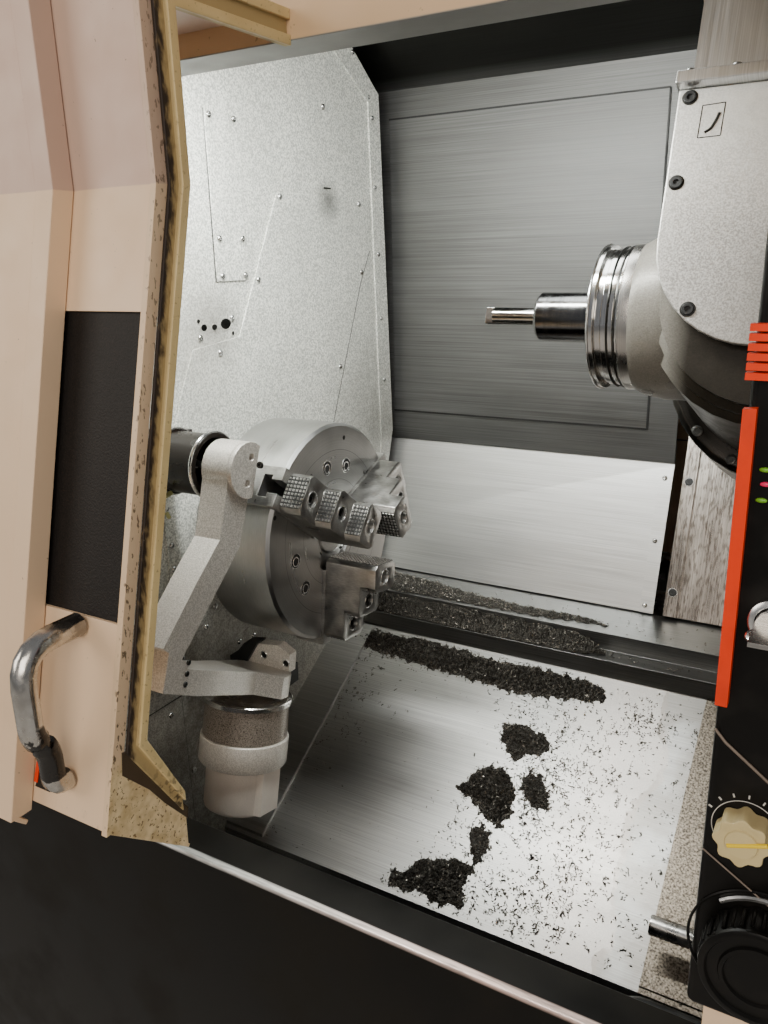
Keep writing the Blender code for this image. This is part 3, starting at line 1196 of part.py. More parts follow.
def build_tool(spindle):
    """The tool holder in the milling spindle and the boring bar it carries."""
    front = -COLLAR_FRONT
    end = front - HOLDER_LENGTH
    flange = HOLDER_SHANK - SEAT
    step = DRUM_STEP / 2
    profile = [
        (0.0, front + HOLDER_SHANK_DEPTH), (flange, front + HOLDER_SHANK_DEPTH), (flange, front),
        (HOLDER_RADIUS, front - step / 2), (HOLDER_RADIUS, end + step / 2),
        (HOLDER_RADIUS - step / 2, end), (BAR_RADIUS + SEAT, end),
        (BAR_RADIUS + SEAT, end + BAR_POCKET), (0.0, end + BAR_POCKET)]
    turned_piece("tool_holder", profile, spindle, DARK_STEEL, turn=TURNED_X)
    bar = add_rod("boring_bar", BAR_RADIUS, end - BAR_LENGTH, BAR_LENGTH + BAR_POCKET - SEAT, spindle,
                  CHROME, sides=COARSE)
    cut(bar, add_block("bar_flat", (end - BAR_LENGTH - OVERRUN, -BAR_RADIUS, BAR_FLAT),
                       (end - BAR_LENGTH + OVERRUN, BAR_RADIUS, BAR_RADIUS), spindle))


def build_setter(base, setter):
    """The tool setter: hub and bracket, cranked arm, sensor eye, stylus and its parking tube."""
    top = -HUB_RING_THICK - HUB_TOP_LENGTH
    low = top - HUB_BAND_LENGTH
    edge = HUB_RING_THICK / 2
    profile = [
        (0.0, BOSS_LENGTH), (HUB_SPIGOT, BOSS_LENGTH), (HUB_SPIGOT, 0.0), (HUB_RING, 0.0),
        (HUB_RING, -HUB_RING_THICK), (HUB_TOP_RADIUS, -HUB_RING_THICK), (HUB_TOP_RADIUS, top),
        (HUB_BAND_RADIUS, top - edge), (HUB_BAND_RADIUS, low), (HUB_FOOT_RADIUS, low),
        (HUB_FOOT_RADIUS, low - HUB_FOOT_LENGTH + edge), (HUB_FOOT_RADIUS - edge, low - HUB_FOOT_LENGTH),
        (0.0, low - HUB_FOOT_LENGTH)]
    frame = add_empty("setter_frame", base, HUB_PLACE, SLANTED)
    hub = turned_piece("setter_hub", profile, frame, CAST_GREY, turn=TURNED_Y)
    wall = HUB_X - WALL_FACE + SEAT
    bracket = [(-BRACKET_REAR, -BRACKET_DROP), (-BRACKET_REAR, BRACKET_RISE), (-BRACKET_FRONT, BOSS_LENGTH),
               (-BRACKET_FRONT, -HUB_RING_THICK / 2), (0.0, -HUB_RING_THICK / 2), (0.0, -BRACKET_DROP)]
    join(hub, add_prism("setter_bracket", bracket, -BRACKET_RIGHT, -wall, frame, turn=SIDEWAYS))
    build_setter_arm(setter)
    eye_y = HEAD_V * math.sin(SLANT) - HEAD_N * math.cos(SLANT)
    eye_z = HEAD_V * math.cos(SLANT) + HEAD_N * math.sin(SLANT)
    mouth = -TUBE_MOUTH
    rear = mouth - TUBE_LENGTH
    ring = TUBE_RADIUS + TUBE_RING
    inner = TUBE_RADIUS - TUBE_WALL
    profile = [
        (inner, mouth), (ring, mouth), (ring, mouth - TUBE_RING_WIDTH),
        (TUBE_RADIUS, mouth - TUBE_RING_WIDTH),
        (TUBE_RADIUS, rear + TUBE_RING_WIDTH), (ring, rear + TUBE_RING_WIDTH), (ring, rear), (0.0, rear),
        (0.0, rear + TUBE_WALL), (inner, rear + TUBE_WALL)]
    place = (0.0, eye_y - HUB_Y, eye_z - HUB_Z)
    tube = turned_piece("setter_tube", profile, base, TUBE_BROWN, place, TURNED_X, TUBE_ROUND, True)
    half = TUBE_BRACKET
    join(tube, add_block("tube_bracket", (-WALL_FACE + SEAT, -half, -half),
                         (rear + TUBE_WALL / 2, half, half), base, place=place))


def build_setter_arm(setter):
    """The cranked arm on its foot plate, with the sensor eye and stylus at its head."""
    left = HUB_X - ARM_THICK
    right = HUB_X - ARM_RIGHT
    arm = add_prism("setter_arm", ARM_OUTLINE, -right, -left, setter, CAST_GREY, turn=SIDEWAYS)
    head_place = (0.0, HEAD_V, HEAD_N)
    flat = 180 - math.degrees(math.acos(EYE_FLAT / ARM_RADIUS))
    outline = arc(0.0, 0.0, ARM_RADIUS, -flat, flat, 14)
    join(arm, add_prism("arm_head", outline, -right, -left, setter, place=head_place, turn=SIDEWAYS))
    front = ARM_OUTLINE[1][0]
    plate = (arc(0.0, 0.0, PLATE_HALF, 180, 360, 12)
             + [(PLATE_HALF, PLATE_HALF), (right, front - PLATE_HALF - ARM_THICK / 2), (right, front),
                (left, front), (-PLATE_HALF, PLATE_HALF)])
    join(arm, add_prism("arm_plate", plate, -PLATE_LIFT - PLATE_THICK, -PLATE_LIFT, setter, turn=ALONG_Y))
    eye = right + SEAT
    plate = add_prism("sensor_head", outline, -eye - EYE_PLATE, -eye, setter, CAST_GREY, head_place,
                      SIDEWAYS)
    for side in (-1.0, 1.0):
        cut(plate, add_rod("eye_hole", EYE_HOLE, eye - OVERRUN, EYE_PLATE + OVERRUN + OVERRUN, setter,
                           place=(0.0, HEAD_V + side * EYE_HOLE_PLACE, HEAD_N), sides=SMALL_ROUND))
    tip = left - SEAT
    profile = [
        (0.0, tip), (STYLUS_BASE, tip), (STYLUS_BASE, tip - STYLUS_BASE),
        (STYLUS_RADIUS, tip - STYLUS_BASE),
        (STYLUS_RADIUS, tip - STYLUS_LENGTH), (0.0, tip - STYLUS_LENGTH)]
    stylus = turned_piece("setter_stylus", profile, setter, DARK_STEEL, head_place, TURNED_X, sides=COARSE)
    cube = STYLUS_CUBE / 2
    join(stylus, add_block("stylus_cube", (tip - STYLUS_LENGTH - cube, -cube, -cube),
                           (tip - STYLUS_LENGTH + cube, cube, cube), setter, place=head_place))


def build_pendant(base):
    """Control panel housing with its screen and orange trim, and the four controls on its face."""
    left = PENDANT_LEFT
    face = -PENDANT_FACE
    housing = add_block("pendant_housing", (left, face, -PENDANT_FOOT),
                        (left + PENDANT_WIDTH, -RIGHT_FRONT - SEAT, PENDANT_TOP), base, BLACK)
    bevel(housing, PENDANT_EDGE)
    screen = left + SCREEN_LEFT
    foot = SCREEN_TOP - SCREEN_HEIGHT
    gap = SEAT + SEAT
    cut(housing, add_block("screen_pocket", (screen, face - OVERRUN, foot),
                           (screen + SCREEN_WIDTH, face + SCREEN_SINK, SCREEN_TOP), base))
    add_block("pendant_screen", (screen + gap, face + SCREEN_SINK - SEAT - SCREEN_GLASS, foot + gap),
              (screen + SCREEN_WIDTH - gap, face + SCREEN_SINK - SEAT, SCREEN_TOP - gap), base, GLASS)
    trim = add_block("pendant_trim", (left + PENDANT_EDGE, face - SEAT - STRIP_PROUD, STRIP_FOOT),
                     (left + PENDANT_EDGE + STRIP_WIDTH, face - SEAT, STRIP_TOP), base, ORANGE)
    ribbed = add_block("ribbed_corner",
                       (left + PENDANT_EDGE, face - SEAT - RIB_BLOCK_DEPTH, RIB_BLOCK_FOOT),
                       (left + PENDANT_EDGE + RIB_BLOCK_WIDTH, face - SEAT, RIB_BLOCK_TOP), base)
    pitch = (RIB_BLOCK_TOP - RIB_BLOCK_FOOT) / (RIB_GROOVES + 1)
    for number in range(RIB_GROOVES):
        z = RIB_BLOCK_FOOT + (number + 1) * pitch
        half = GROOVE_SHARE * pitch / 2
        cut(ribbed, add_block("rib_groove", (left, face - 2 * RIB_BLOCK_DEPTH, z - half),
                              (left + PENDANT_WIDTH, face - RIB_BLOCK_DEPTH / 2, z + half), base))
    join(trim, ribbed)
    dial = add_empty("dial_axis", base, (left + DIAL_INSET, face - SEAT, DIAL_Z), ALONG_Y)
    add_prism("override_dial", lobed_outline(DIAL_RADIUS, DIAL_LOBE_DEPTH, DIAL_LOBES, 6), 0.0,
              DIAL_HEIGHT, dial, CREAM, turn=FLAT)
    wheel = add_empty("wheel_axis", base, (left + WHEEL_INSET, face - SEAT, -WHEEL_DROP), ALONG_Y)
    add_prism("handwheel", lobed_outline(WHEEL_RADIUS, FLUTE_DEPTH, WHEEL_FLUTES, 4), 0.0, WHEEL_HEIGHT,
              wheel, BLACK, turn=FLAT)
    key = add_empty("key_axis", base, (left + KEY_INSET, face - SEAT, KEY_Z), ALONG_Y)
    barrel = add_rod("key_switch", KEY_RADIUS, 0.0, KEY_HEIGHT, key, CHROME, turn=FLAT, sides=COARSE)
    join(barrel, add_block("key_bow", (-KEY_RADIUS, -KEY_BLADE / 2, KEY_HEIGHT / 2),
                           (KEY_RADIUS, KEY_BLADE / 2, KEY_HEIGHT + KEY_BOW), key))
    stop_place = (left + STOP_INSET, face, 0.0)
    cut(housing, add_rod("stop_socket", SOCKET_RADIUS, -SOCKET_DEPTH, SOCKET_DEPTH + OVERRUN, base,
                         place=stop_place, turn=ALONG_Y, sides=COARSE))
    stop = add_empty("stop_axis", base, stop_place, ALONG_Y)
    profile = [
        (0.0, STOP_GAP + STOP_HEIGHT), (STOP_RADIUS - BUTTON_STEM, STOP_GAP + STOP_HEIGHT),
        (STOP_RADIUS, STOP_GAP + STOP_HEIGHT / 2), (STOP_RADIUS, STOP_GAP), (BUTTON_STEM, STOP_GAP),
        (BUTTON_STEM, -STEM_DEPTH), (0.0, -STEM_DEPTH)]
    turned_piece("emergency_stop", profile, stop, RED, sides=COARSE)


def build_coolant(base):
    """The coolant pipe on the slide's right part and the hose with its fitting over the trough."""
    mouth = Vector(PIPE_MOUTH)
    bend = Vector(PIPE_BEND)
    surface = -SLIDE_TOP_Z + SLIDE_SHARE * (bend.y - SLIDE_TOP_Y) + SLIDE_SEAM_RISE
    foot = (bend.x, bend.y, surface + SLIDE_SHARE * PIPE_RADIUS + PIPE_FOOT_GAP - SEAT)
    tube_piece("coolant_pipe", rounded_path([mouth, bend, foot], (2 * PIPE_RADIUS,)), PIPE_RADIUS, base,
               CHROME)
    clamp = -TROUGH_FRONT + SHEET + SEAT
    points = [
        (HOSE_LEFT, -HOSE_Y, -HOSE_LOW), (HOSE_LEFT, -HOSE_Y, -HOSE_HIGH),
        (HOSE_RIGHT, -HOSE_Y, -HOSE_HIGH), (HOSE_RIGHT, clamp, -HOSE_HIGH)]
    hose = tube_piece("coolant_hose", rounded_path(points, (HOSE_BEND, HOSE_BEND)), HOSE_RADIUS, base,
                      BLACK, 2)
    join(hose, add_rod("hose_fitting", FITTING_RADIUS, SEAT, FITTING_LENGTH, base,
                       place=(HOSE_RIGHT, clamp, -HOSE_HIGH), turn=TURNED_Y, sides=SMALL_ROUND))


def main():
    """Builds the whole lathe."""
    base = add_empty("chuck_face", None,
                     (-(RIGHT_END - LEFT_END) / 2, -FRAME_SETBACK, SPINDLE_HEIGHT))
    door = add_empty("door", base)
    chuck = add_empty("chuck", base)
    carriage = add_empty("carriage", base)
    saddle = add_empty("saddle", carriage)
    ram = add_empty("ram", saddle)
    head = add_empty("head", ram, HEAD_PLACE, SLANTED)
    milling_spindle = add_empty("milling_spindle", head)
    setter = add_empty("setter", base, HUB_PLACE, SLANTED)
    build_casing(base)
    build_fixed_panel(base)
    build_door(door)
    build_bed(base)
    build_headstock(base, chuck)
    build_wall(base)
    build_chuck(chuck)
    build_guards(base)
    build_rear_covers(carriage)
    build_column(carriage)
    build_saddle(saddle)
    build_ram(ram)
    build_head(head)
    build_tool(milling_spindle)
    build_setter(base, setter)
    build_pendant(base)
    build_coolant(base)


for old_object in list(bpy.data.objects):
    bpy.data.objects.remove(old_object)
PARTS = new_collection(COLLECTION)
CUTTERS = new_collection("cutters")
main()
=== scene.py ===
"""Surfaces, fittings, chips, light and camera for a slant-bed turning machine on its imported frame."""
import functools
import json
import math
import random

import bmesh
import bpy
from bpy.props import FloatProperty, FloatVectorProperty
from mathutils import Matrix, Vector, noise


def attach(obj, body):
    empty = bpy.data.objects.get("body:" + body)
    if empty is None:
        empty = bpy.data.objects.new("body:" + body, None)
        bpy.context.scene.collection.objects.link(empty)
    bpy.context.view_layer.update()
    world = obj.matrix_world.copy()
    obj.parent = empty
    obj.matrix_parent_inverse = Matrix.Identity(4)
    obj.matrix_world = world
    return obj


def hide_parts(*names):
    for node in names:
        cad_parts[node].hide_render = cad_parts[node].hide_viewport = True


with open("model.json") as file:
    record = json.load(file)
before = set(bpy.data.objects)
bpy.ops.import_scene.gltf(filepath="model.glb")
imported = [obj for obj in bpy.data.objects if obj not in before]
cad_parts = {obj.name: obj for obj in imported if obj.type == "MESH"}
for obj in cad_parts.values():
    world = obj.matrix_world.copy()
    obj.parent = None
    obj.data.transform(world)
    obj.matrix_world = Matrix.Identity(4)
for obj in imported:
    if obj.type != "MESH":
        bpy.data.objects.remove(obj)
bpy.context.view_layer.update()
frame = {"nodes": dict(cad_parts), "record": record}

bl_info = {
    "name": "Turning lathe dressing",
    "version": (1, 0, 0),
    "blender": (4, 5, 0),
    "location": "3D View > Sidebar > Lathe",
    "description": "Adds finishes, screws, chips, light and a camera to the packed turning lathe",
    "category": "Object",
}

# The record's material slots
BLACK_PAINT = "black_paint_painted_metal"
BROWN_PAINT = "dark_brown_painted_metal"
SILVER_PAINT = "speckled_silver_painted_metal"
BRUSHED = "brushed_brushed_steel"
GROUND = "ground_brushed_steel"
OILED = "dark_oiled_brushed_steel"
CHROME = "polished_chrome"
ALUMINIUM = "bead_blasted_aluminium"
CASTING = "grey_painted_casting_cast_iron"
RUBBER = "matte_black_rubber"
BLACK_PLASTIC = "matte_black_matte_plastic"
CREAM_PLASTIC = "cream_matte_plastic"
ORANGE_PLASTIC = "orange_matte_plastic"

# Directions, and the lean of the column
ALONG = Vector((1.0, 0.0, 0.0))
FRONT = Vector((0.0, -1.0, 0.0))
UP = Vector((0.0, 0.0, 1.0))
LEAN = math.radians(20)
UP_BACK = Vector((0.0, math.sin(LEAN), math.cos(LEAN)))
FRONT_UP = Vector((0.0, -math.cos(LEAN), math.sin(LEAN)))

# How far a fitting sinks into what it sits on, the radius where a turned shape closes, the turn from one screw's
# socket to the next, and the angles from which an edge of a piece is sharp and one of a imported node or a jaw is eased
SUNK = 0.0002
TIP = 0.0002
SOCKET_TURN = 0.7
SHARP_PIECE = math.radians(38)
EASE_ANGLE = math.radians(24)
JAW_EASE_ANGLE = math.radians(30)

# The middle of the chuck's face in the world, from which places are counted; the wall's and the panel's faces
CHUCK_FACE = Vector((-0.16, -0.2811, 1.25))
WALL = -0.165
PANEL_FACE = -0.5003

# The chuck and its jaws
CHUCK_TURN = math.radians(-97.5)
FACE_SCREW_REACH = 0.095
FACE_SCREW_SPREAD = math.radians(14.7)
CAP_SCREW_REACH = 0.0385
CAP_SCREW_SPREAD = 0.30
CHUCK_PLUGS = ((-0.132, 0.057), (0.033, 0.128))
CHUCK_CIRCLES = (0.0745, 0.1155)
JAW_HALF = 0.027
JAW_BASE = 0.0053
JAW_INNER = 0.032
JAW_PLAN_CUT = 0.006
JAW_BORE = 0.0093
JAW_BORE_DEPTH = 0.0125
KNURL_HIGH = 0.0015
KNURL_COLUMNS = 8
# Half thickness of the dark plate that paints the shade between the knurls
KNURL_SHADE_HALF = 0.0003
KNURL_MARGIN = 0.0006
# Low and high of each step along the spindle, its outer face's distance from the axis and its rows of knurls
JAW_STEPS = ((0.0608, 0.0846, 0.070, 5), (0.0370, 0.0608, 0.108, 5), (JAW_BASE, 0.0370, 0.146, 6))
JAW_TOP = JAW_STEPS[0][1]
INNER_ROWS = 16
# Height of each step and the distance of its screw hole from the axis
JAW_BOLTS = ((0.0846, 0.051), (0.0608, 0.089), (0.0370, 0.127))

# Places on the headstock wall as (toward the rear, up)
WALL_PLATE_SCREWS = (
    (-0.011, 0.549), (0.039, 0.549), (-0.008, 0.396), (0.041, 0.396), (-0.007, 0.347), (0.042, 0.347),
    (0.133, 0.456), (0.355, 0.455), (0.357, 0.344), (0.071, 0.340), (0.279, 0.191), (-0.024, 0.245),
    (-0.152, 0.002), (-0.152, -0.032))
WALL_STRIP_SCREWS = (
    (0.349, 0.684), (0.406, 0.594), (0.410, 0.484), (0.4165, 0.373), (0.421, 0.262), (0.427, 0.150))
WALL_SHEET_SCREWS = (
    (0.260, 0.593), (0.398, 0.625), (0.009, 0.290), (-0.059, 0.268), (-0.099, -0.140), (-0.076, -0.117),
    (-0.152, -0.166), (-0.184, -0.240), (-0.151, -0.348), (0.004, -0.197), (0.096, -0.272), (-0.030, -0.193))
WALL_SLOT = ((0.254, 0.4738), (0.274, 0.4738), (0.274, 0.4762), (0.254, 0.4762))
# Toward the rear, up, half width and half height
WALL_HOLES = (
    (-0.060, 0.290, 0.0030, 0.0030), (-0.050, 0.281, 0.0046, 0.0060), (-0.029, 0.280, 0.0042, 0.0055),
    (-0.005, 0.283, 0.0072, 0.0110), (0.009, 0.269, 0.0030, 0.0030))
WALL_THIN_PLATES = (
    ("lower_left_plate", ((-0.290, -0.222), (-0.161, -0.222), (-0.159, -0.480), (-0.290, -0.480))),
    ("lower_middle_plate", ((-0.022, -0.196), (-0.016, -0.182), (-0.004, -0.178), (0.078, -0.206),
                            (0.092, -0.217), (0.100, -0.235), (0.100, -0.352), (-0.022, -0.426))))
# Corners of each dark line along a plate's edge, painted shade at the plate's step, as (toward the rear, up, out from
# the wall)
WALL_EDGE_SHADE = (
    ((-0.0190, 0.5560, 0.0010), (-0.0190, 0.3400, 0.0010)),
    ((-0.165, -0.0512, 0.0004), (0.330, -0.0512, 0.0004)),
    ((-0.161, -0.222, 0.0006), (-0.159, -0.480, 0.0006)),
    ((-0.290, -0.221, 0.0006), (-0.161, -0.221, 0.0006)),
    ((0.387, 0.379, 0.0022), (0.354, 0.326, 0.0022), (0.268, 0.135, 0.0022), (0.190, -0.040, 0.0022)))
# Toward the rear, up, inner and outer radius, colour and most share of each darker patch; the widest darkens the lower
# wall toward the slide
WALL_DARK_PATCHES = (
    (0.264, 0.455, 0.004, 0.040, (0.07, 0.07, 0.065), 0.85), (0.40, 0.06, 0.02, 0.20, (0.14, 0.135, 0.12), 0.70),
    (-0.03, 0.283, 0.008, 0.060, (0.13, 0.12, 0.11), 0.60), (-0.10, 0.27, 0.03, 0.15, (0.34, 0.31, 0.27), 0.45),
    (-0.06, -0.34, 0.12, 0.40, (0.115, 0.100, 0.080), 0.85))

# The rear sheet: its face, its seal's half width, and the seal's left, right, low and high
REAR_FACE = 0.4778
SEAL_HALF = 0.0014
SEAL_LEFT, SEAL_RIGHT, SEAL_LOW, SEAL_HIGH = -0.1702, 0.3122, 0.0838, 0.6002
# The lower cover's top edge and slope, and its screws as (along, down the slope)
COVER_TOP = (0.480, 0.019)
COVER_SLOPE = Vector((0.0, 0.0815, 0.2285)).normalized()
COVER_SCREWS = ((0.3485, 0.016), (0.3465, 0.231), (0.3475, 0.122))
# The column strip's screws: their place along, heights and depth in the column's directions
STRIP_ALONG, STRIP_HEIGHTS, STRIP_OUT = -0.1535, (-0.117, -0.300, 0.10, 0.33), -0.539

# The milling head, counted from its middle: how far out its cover's face lies, screws as (along, up), the height,
# depth and places along of the cap's screws, and outlines as (along, up)
HEAD_FACE = 0.1000
HEAD_COVER_SCREWS = ((-0.099, 0.181), (-0.100, 0.100), (-0.073, -0.020), (0.099, 0.181), (0.100, 0.100),
                     (0.073, -0.020))
HEAD_CAP_UP, HEAD_CAP_OUT = 0.2018, 0.104
HEAD_CAP_SCREWS = (-0.101, -0.060, 0.0, 0.060, 0.101)
HOOK_FRAME = ((-0.0865, 0.172), (-0.0665, 0.173), (-0.0670, 0.142), (-0.0870, 0.1415))
HOOK = ((-0.0815, 0.146), (-0.0765, 0.1495), (-0.0735, 0.155), (-0.0705, 0.1635))
# The bearing's bolts in degrees, their distance from its middle and their depth
BEARING_BOLTS = (198, 222, 246, 270, 294, 318, 342)
BEARING_REACH, BEARING_OUT = 0.129, -0.1898
# Distance of the nose's plug along the spindle, angle up from the front, distance from the axis
NOSE_PLUG = (0.105, 0.05, 0.0812)
# Distance of each collar screw from the head's middle along the spindle, angle up from the front, radius
COLLAR_SCREWS = (
    (0.1265, 0.62, 0.0024), (0.1270, 0.16, 0.0034), (0.1255, -0.12, 0.0016), (0.1280, -0.60, 0.0032),
    (0.1725, 0.17, 0.0022), (0.1270, 2.2, 0.0034), (0.1270, -2.2, 0.0034))
COLLAR_BARREL = 0.0755
COLLAR_FRONT = 0.0734
COLLAR_FRONT_FROM = 0.15
# Name, distance along, radius of the ring, of its bead and its sides, and whether it is bright
COLLAR_RINGS = (("collar_rim", 0.1745, 0.0752, 0.0013, 8, True), ("collar_groove_1", 0.1478, 0.0730, 0.0011, 6, False),
                ("collar_groove_2", 0.1555, 0.0724, 0.0011, 6, False))

# The tool setter: its tube's axis and end rings, the bolts of its bracket, its screws and its wire loop
TUBE_AXIS = (-0.1815, 0.1302)
TUBE_RING = 0.0405
TUBE_BOLTS = ((-0.208, 0.157), (-0.155, 0.157), (-0.208, 0.103), (-0.155, 0.103))
FOOT_SCREWS = ((0.079, 0.222), (0.066, 0.222), (0.054, 0.222))
FOOT_SIDE = 0.0752
EYE_SCREWS = ((0.066, 0.325), (0.093, 0.312))
EYE_OUT, EYE_SUNK = 0.1742, 0.004
LOOP_TOP = (-0.0985, -0.2165, 0.094)
# The arm's disc at the hub, its growth, the height under which its foot is lifted, and the lift per length
ARM_DISC = 0.0375
ARM_WIDER = 0.55
ARM_KNEE = 0.060
ARM_LIFT = 0.16
# The hub's lean and its stages as (radius, way down)
HUB_LEAN = math.radians(13.5)
HUB_STAGES = (
    ("hub_flange", ((0.0615, -0.0005), (0.0625, 0.0005), (0.0625, 0.0060), (0.0612, 0.0070))),
    ("hub_stage", ((0.0590, 0.0055), (0.0590, 0.0535), (0.0575, 0.0545))),
    ("hub_band", ((0.0605, 0.0545), (0.0618, 0.0560), (0.0618, 0.0900), (0.0600, 0.0925))),
    ("hub_cover", ((0.0500, 0.0915), (0.0500, 0.1520), (0.0488, 0.1565), (0.0450, 0.1590))))
HUB_BOX = ((0.030, -0.026), (0.053, -0.018), (0.053, 0.020), (0.030, 0.030))
HUB_BOX_LOW, HUB_BOX_RISE, HUB_BOX_DROP = 0.125, -0.033, 0.030
HUB_PLUG_WAY = Vector((0.55, -0.835, 0.0))
# Name, outline as (along, up), place, start and end toward the rear, and whether it is light, of the hub's bracket
HUB_BRACKET = (
    ("hub_bracket_plate", ((-0.1209, -0.2083), (-0.0975, -0.1642), (-0.0575, -0.1583), (-0.0380, -0.1688),
                           (-0.0417, -0.1982)), -0.0700, 0.0, 0.0160, True),
    ("hub_bracket_wedge", ((-0.1469, -0.2021), (-0.1144, -0.1637), (-0.0913, -0.1600), (-0.1179, -0.2015)),
     -0.0760, 0.0, 0.0224, False),
    ("hub_bracket_arm", ((-0.1655, -0.235), (-0.1655, -0.206), (-0.060, -0.206), (-0.060, -0.235)),
     -0.030, -0.0224, 0.0064, False))
BRACKET_SCREWS = ((-0.0840, -0.1785), (-0.0450, -0.1830))
BRACKET_FACE = -0.0702

# The door: outline as (deep, up) of the grime between its frame and its gusset
GAP_FILL = ((-0.5386, 0.0017), (-0.5336, 0.0006), (-0.4767, -0.0877), (-0.4786, -0.0977), (-0.5017, -0.0675),
            (-0.5158, -0.0460), (-0.5410, -0.0175))
GAP_ALONG = 0.1562
GAP_HALF = 0.0006
# Outlines as (along, up) of the black plate on the door, which stands for the fixed panel's black end face and paints
# the shade of the gap beside it, and of its orange mark
BLACK_FACE_AND_GAP_SHADE = ((0.0780, -0.0120), (0.0880, -0.0120), (0.0860, -0.0460), (0.0680, -0.0460))
ORANGE_MARK = ((0.0690, -0.0190), (0.0730, -0.0190), (0.0710, -0.0420), (0.0670, -0.0420))
# World places of the seams between the casing's sheets, and the inner and outer half width of a seam
CASING_SEAMS = (("Z", (0.352, 1.180, 2.020)), ("X", (-0.9, -0.1, 0.7)), ("Y", (-0.05, 0.55)))
SEAM_INNER, SEAM_OUTER = 0.0010, 0.0016

# The control panel, as (along, up)
ORANGE_STRIP = ((0.5733, 0.1393), (0.5793, 0.1393), (0.5781, 0.2935), (0.5720, 0.2930))
STRIP_THICK = Vector((0.0, -0.0060, 0.0))
RIBS, RIB_FOOT, RIB_PITCH, RIB_HIGH, RIB_LEFT, RIB_RIGHT = 6, 0.3065, 0.0044, 0.0033, 0.5716, 0.6035
LIGHTS = (("light_upper", 0.5840, 0.264, "light_green"), ("light_middle", 0.5850, 0.257, "light_pink"),
          ("light_lower", 0.5838, 0.249, "light_green"))
EDGE_LINES = ((0.0008, ((0.5742, 0.1225), (0.5800, 0.1160), (0.640, 0.0700), (0.700, 0.030))),
              (0.0005, ((0.5742, 0.0475), (0.610, 0.0240), (0.680, -0.018))))
DIAL, WHEEL, KEY = (0.594, 0.067), (0.6095, -0.008), (0.5955, 0.188)
KEY_STEM, KEY_BOW = 0.0085, 0.0095
DIAL_TICKS, TICK_FIRST, TICK_STEP, TICK_REACH = 11, 155, 22, 0.0200
WHEEL_RIBS, WHEEL_RIM = 36, 0.0297

# The chip slide: its top edge as (toward the rear, up), its fall and the way out of it
SLIDE_TOP = (0.257, -0.270)
SLIDE_FALL = 0.6
SLIDE_OUT = Vector((0.0, -0.514, 0.857)).normalized()
SLIDE_REAR = 0.252
# Outlines on the slide as (along, toward the rear), with the heap's height and its chips per point
SLIDE_HEAPS = (
    (((-0.150, 0.246), (-0.095, 0.247), (0.040, 0.250), (0.123, 0.242), (0.222, 0.247), (0.300, 0.244),
      (0.327, 0.236), (0.331, 0.222), (0.262, 0.212), (0.203, 0.204), (0.120, 0.208), (0.039, 0.212),
      (-0.062, 0.217), (-0.110, 0.222), (-0.150, 0.212)), 0.0070, 0.50),
    (((0.199, 0.150), (0.225, 0.158), (0.262, 0.152), (0.278, 0.143), (0.272, 0.128), (0.250, 0.124),
      (0.236, 0.110), (0.222, 0.118), (0.205, 0.132)), 0.0050, 0.55),
    (((0.262, 0.098), (0.280, 0.096), (0.296, 0.078), (0.304, 0.060), (0.290, 0.056), (0.272, 0.066),
      (0.258, 0.080)), 0.0045, 0.55),
    (((0.170, 0.052), (0.186, 0.078), (0.206, 0.092), (0.236, 0.086), (0.252, 0.070), (0.256, 0.040),
      (0.244, 0.022), (0.226, 0.026), (0.208, 0.040), (0.184, 0.044)), 0.0060, 0.55),
    (((0.118, -0.086), (0.146, -0.066), (0.166, -0.046), (0.205, -0.036), (0.232, -0.038), (0.226, -0.062),
      (0.238, -0.080), (0.205, -0.088), (0.176, -0.084), (0.150, -0.088)), 0.0065, 0.55),
    (((0.214, 0.010), (0.236, 0.012), (0.241, -0.010), (0.236, -0.030), (0.224, -0.022)), 0.0030, 0.6),
    (((-0.158, 0.060), (-0.140, 0.058), (-0.132, 0.020), (-0.136, -0.030), (-0.158, -0.040)), 0.0035, 0.5))
LEDGE_HEAPS = (
    (((-0.155, 0.2590), (0.100, 0.2590), (0.225, 0.2600), (0.290, 0.2650), (0.315, 0.2780), (0.262, 0.2895),
      (0.100, 0.2905), (-0.155, 0.2905)), 0.0065, 0.50),
    (((-0.155, 0.300), (-0.060, 0.302), (0.060, 0.306), (0.180, 0.309), (0.250, 0.318), (0.300, 0.324),
      (0.270, 0.336), (0.150, 0.334), (0.050, 0.346), (-0.050, 0.366), (-0.155, 0.384)), 0.0032, 0.42))
# A heap's cell, how far it spreads past its outline, where it ends on the slide, the runs of the channel and the
# ledge, their heights, and the chips' rise at the riser
HEAP_CELL = 0.0019
HEAP_MARGIN = 0.0060
SLIDE_RUN = (-0.094, 0.2545)
LEDGE_RUNS = ((0.2580, 0.2935), (0.2950, 0.4000))
CHANNEL_HEIGHT, LEDGE_HEIGHT = -0.2395, -0.2115
CHANNEL_FILL = 0.0225
CHIP_SHAPES = 12
CHIP_SEED = 11
LEDGE_CHIPS = 260
# Middle of each cloud of loose chips on the slide, its two spreads and its count
SPECK_CLOUDS = (
    (0.300, 0.120, 0.045, 0.045, 300), (0.330, 0.030, 0.050, 0.050, 260), (0.300, -0.045, 0.055, 0.028, 190),
    (0.370, 0.000, 0.030, 0.060, 90), (0.420, 0.160, 0.030, 0.045, 60), (-0.080, 0.130, 0.045, 0.060, 150),
    (0.400, 0.205, 0.035, 0.020, 110), (0.240, 0.190, 0.050, 0.018, 70), (0.280, -0.075, 0.050, 0.014, 110),
    (0.440, -0.050, 0.020, 0.050, 30), (0.190, 0.000, 0.030, 0.025, 40), (-0.120, -0.010, 0.020, 0.060, 80),
    (0.270, 0.075, 0.030, 0.030, 120), (0.470, 0.100, 0.010, 0.100, 60), (0.520, 0.060, 0.020, 0.080, 40))

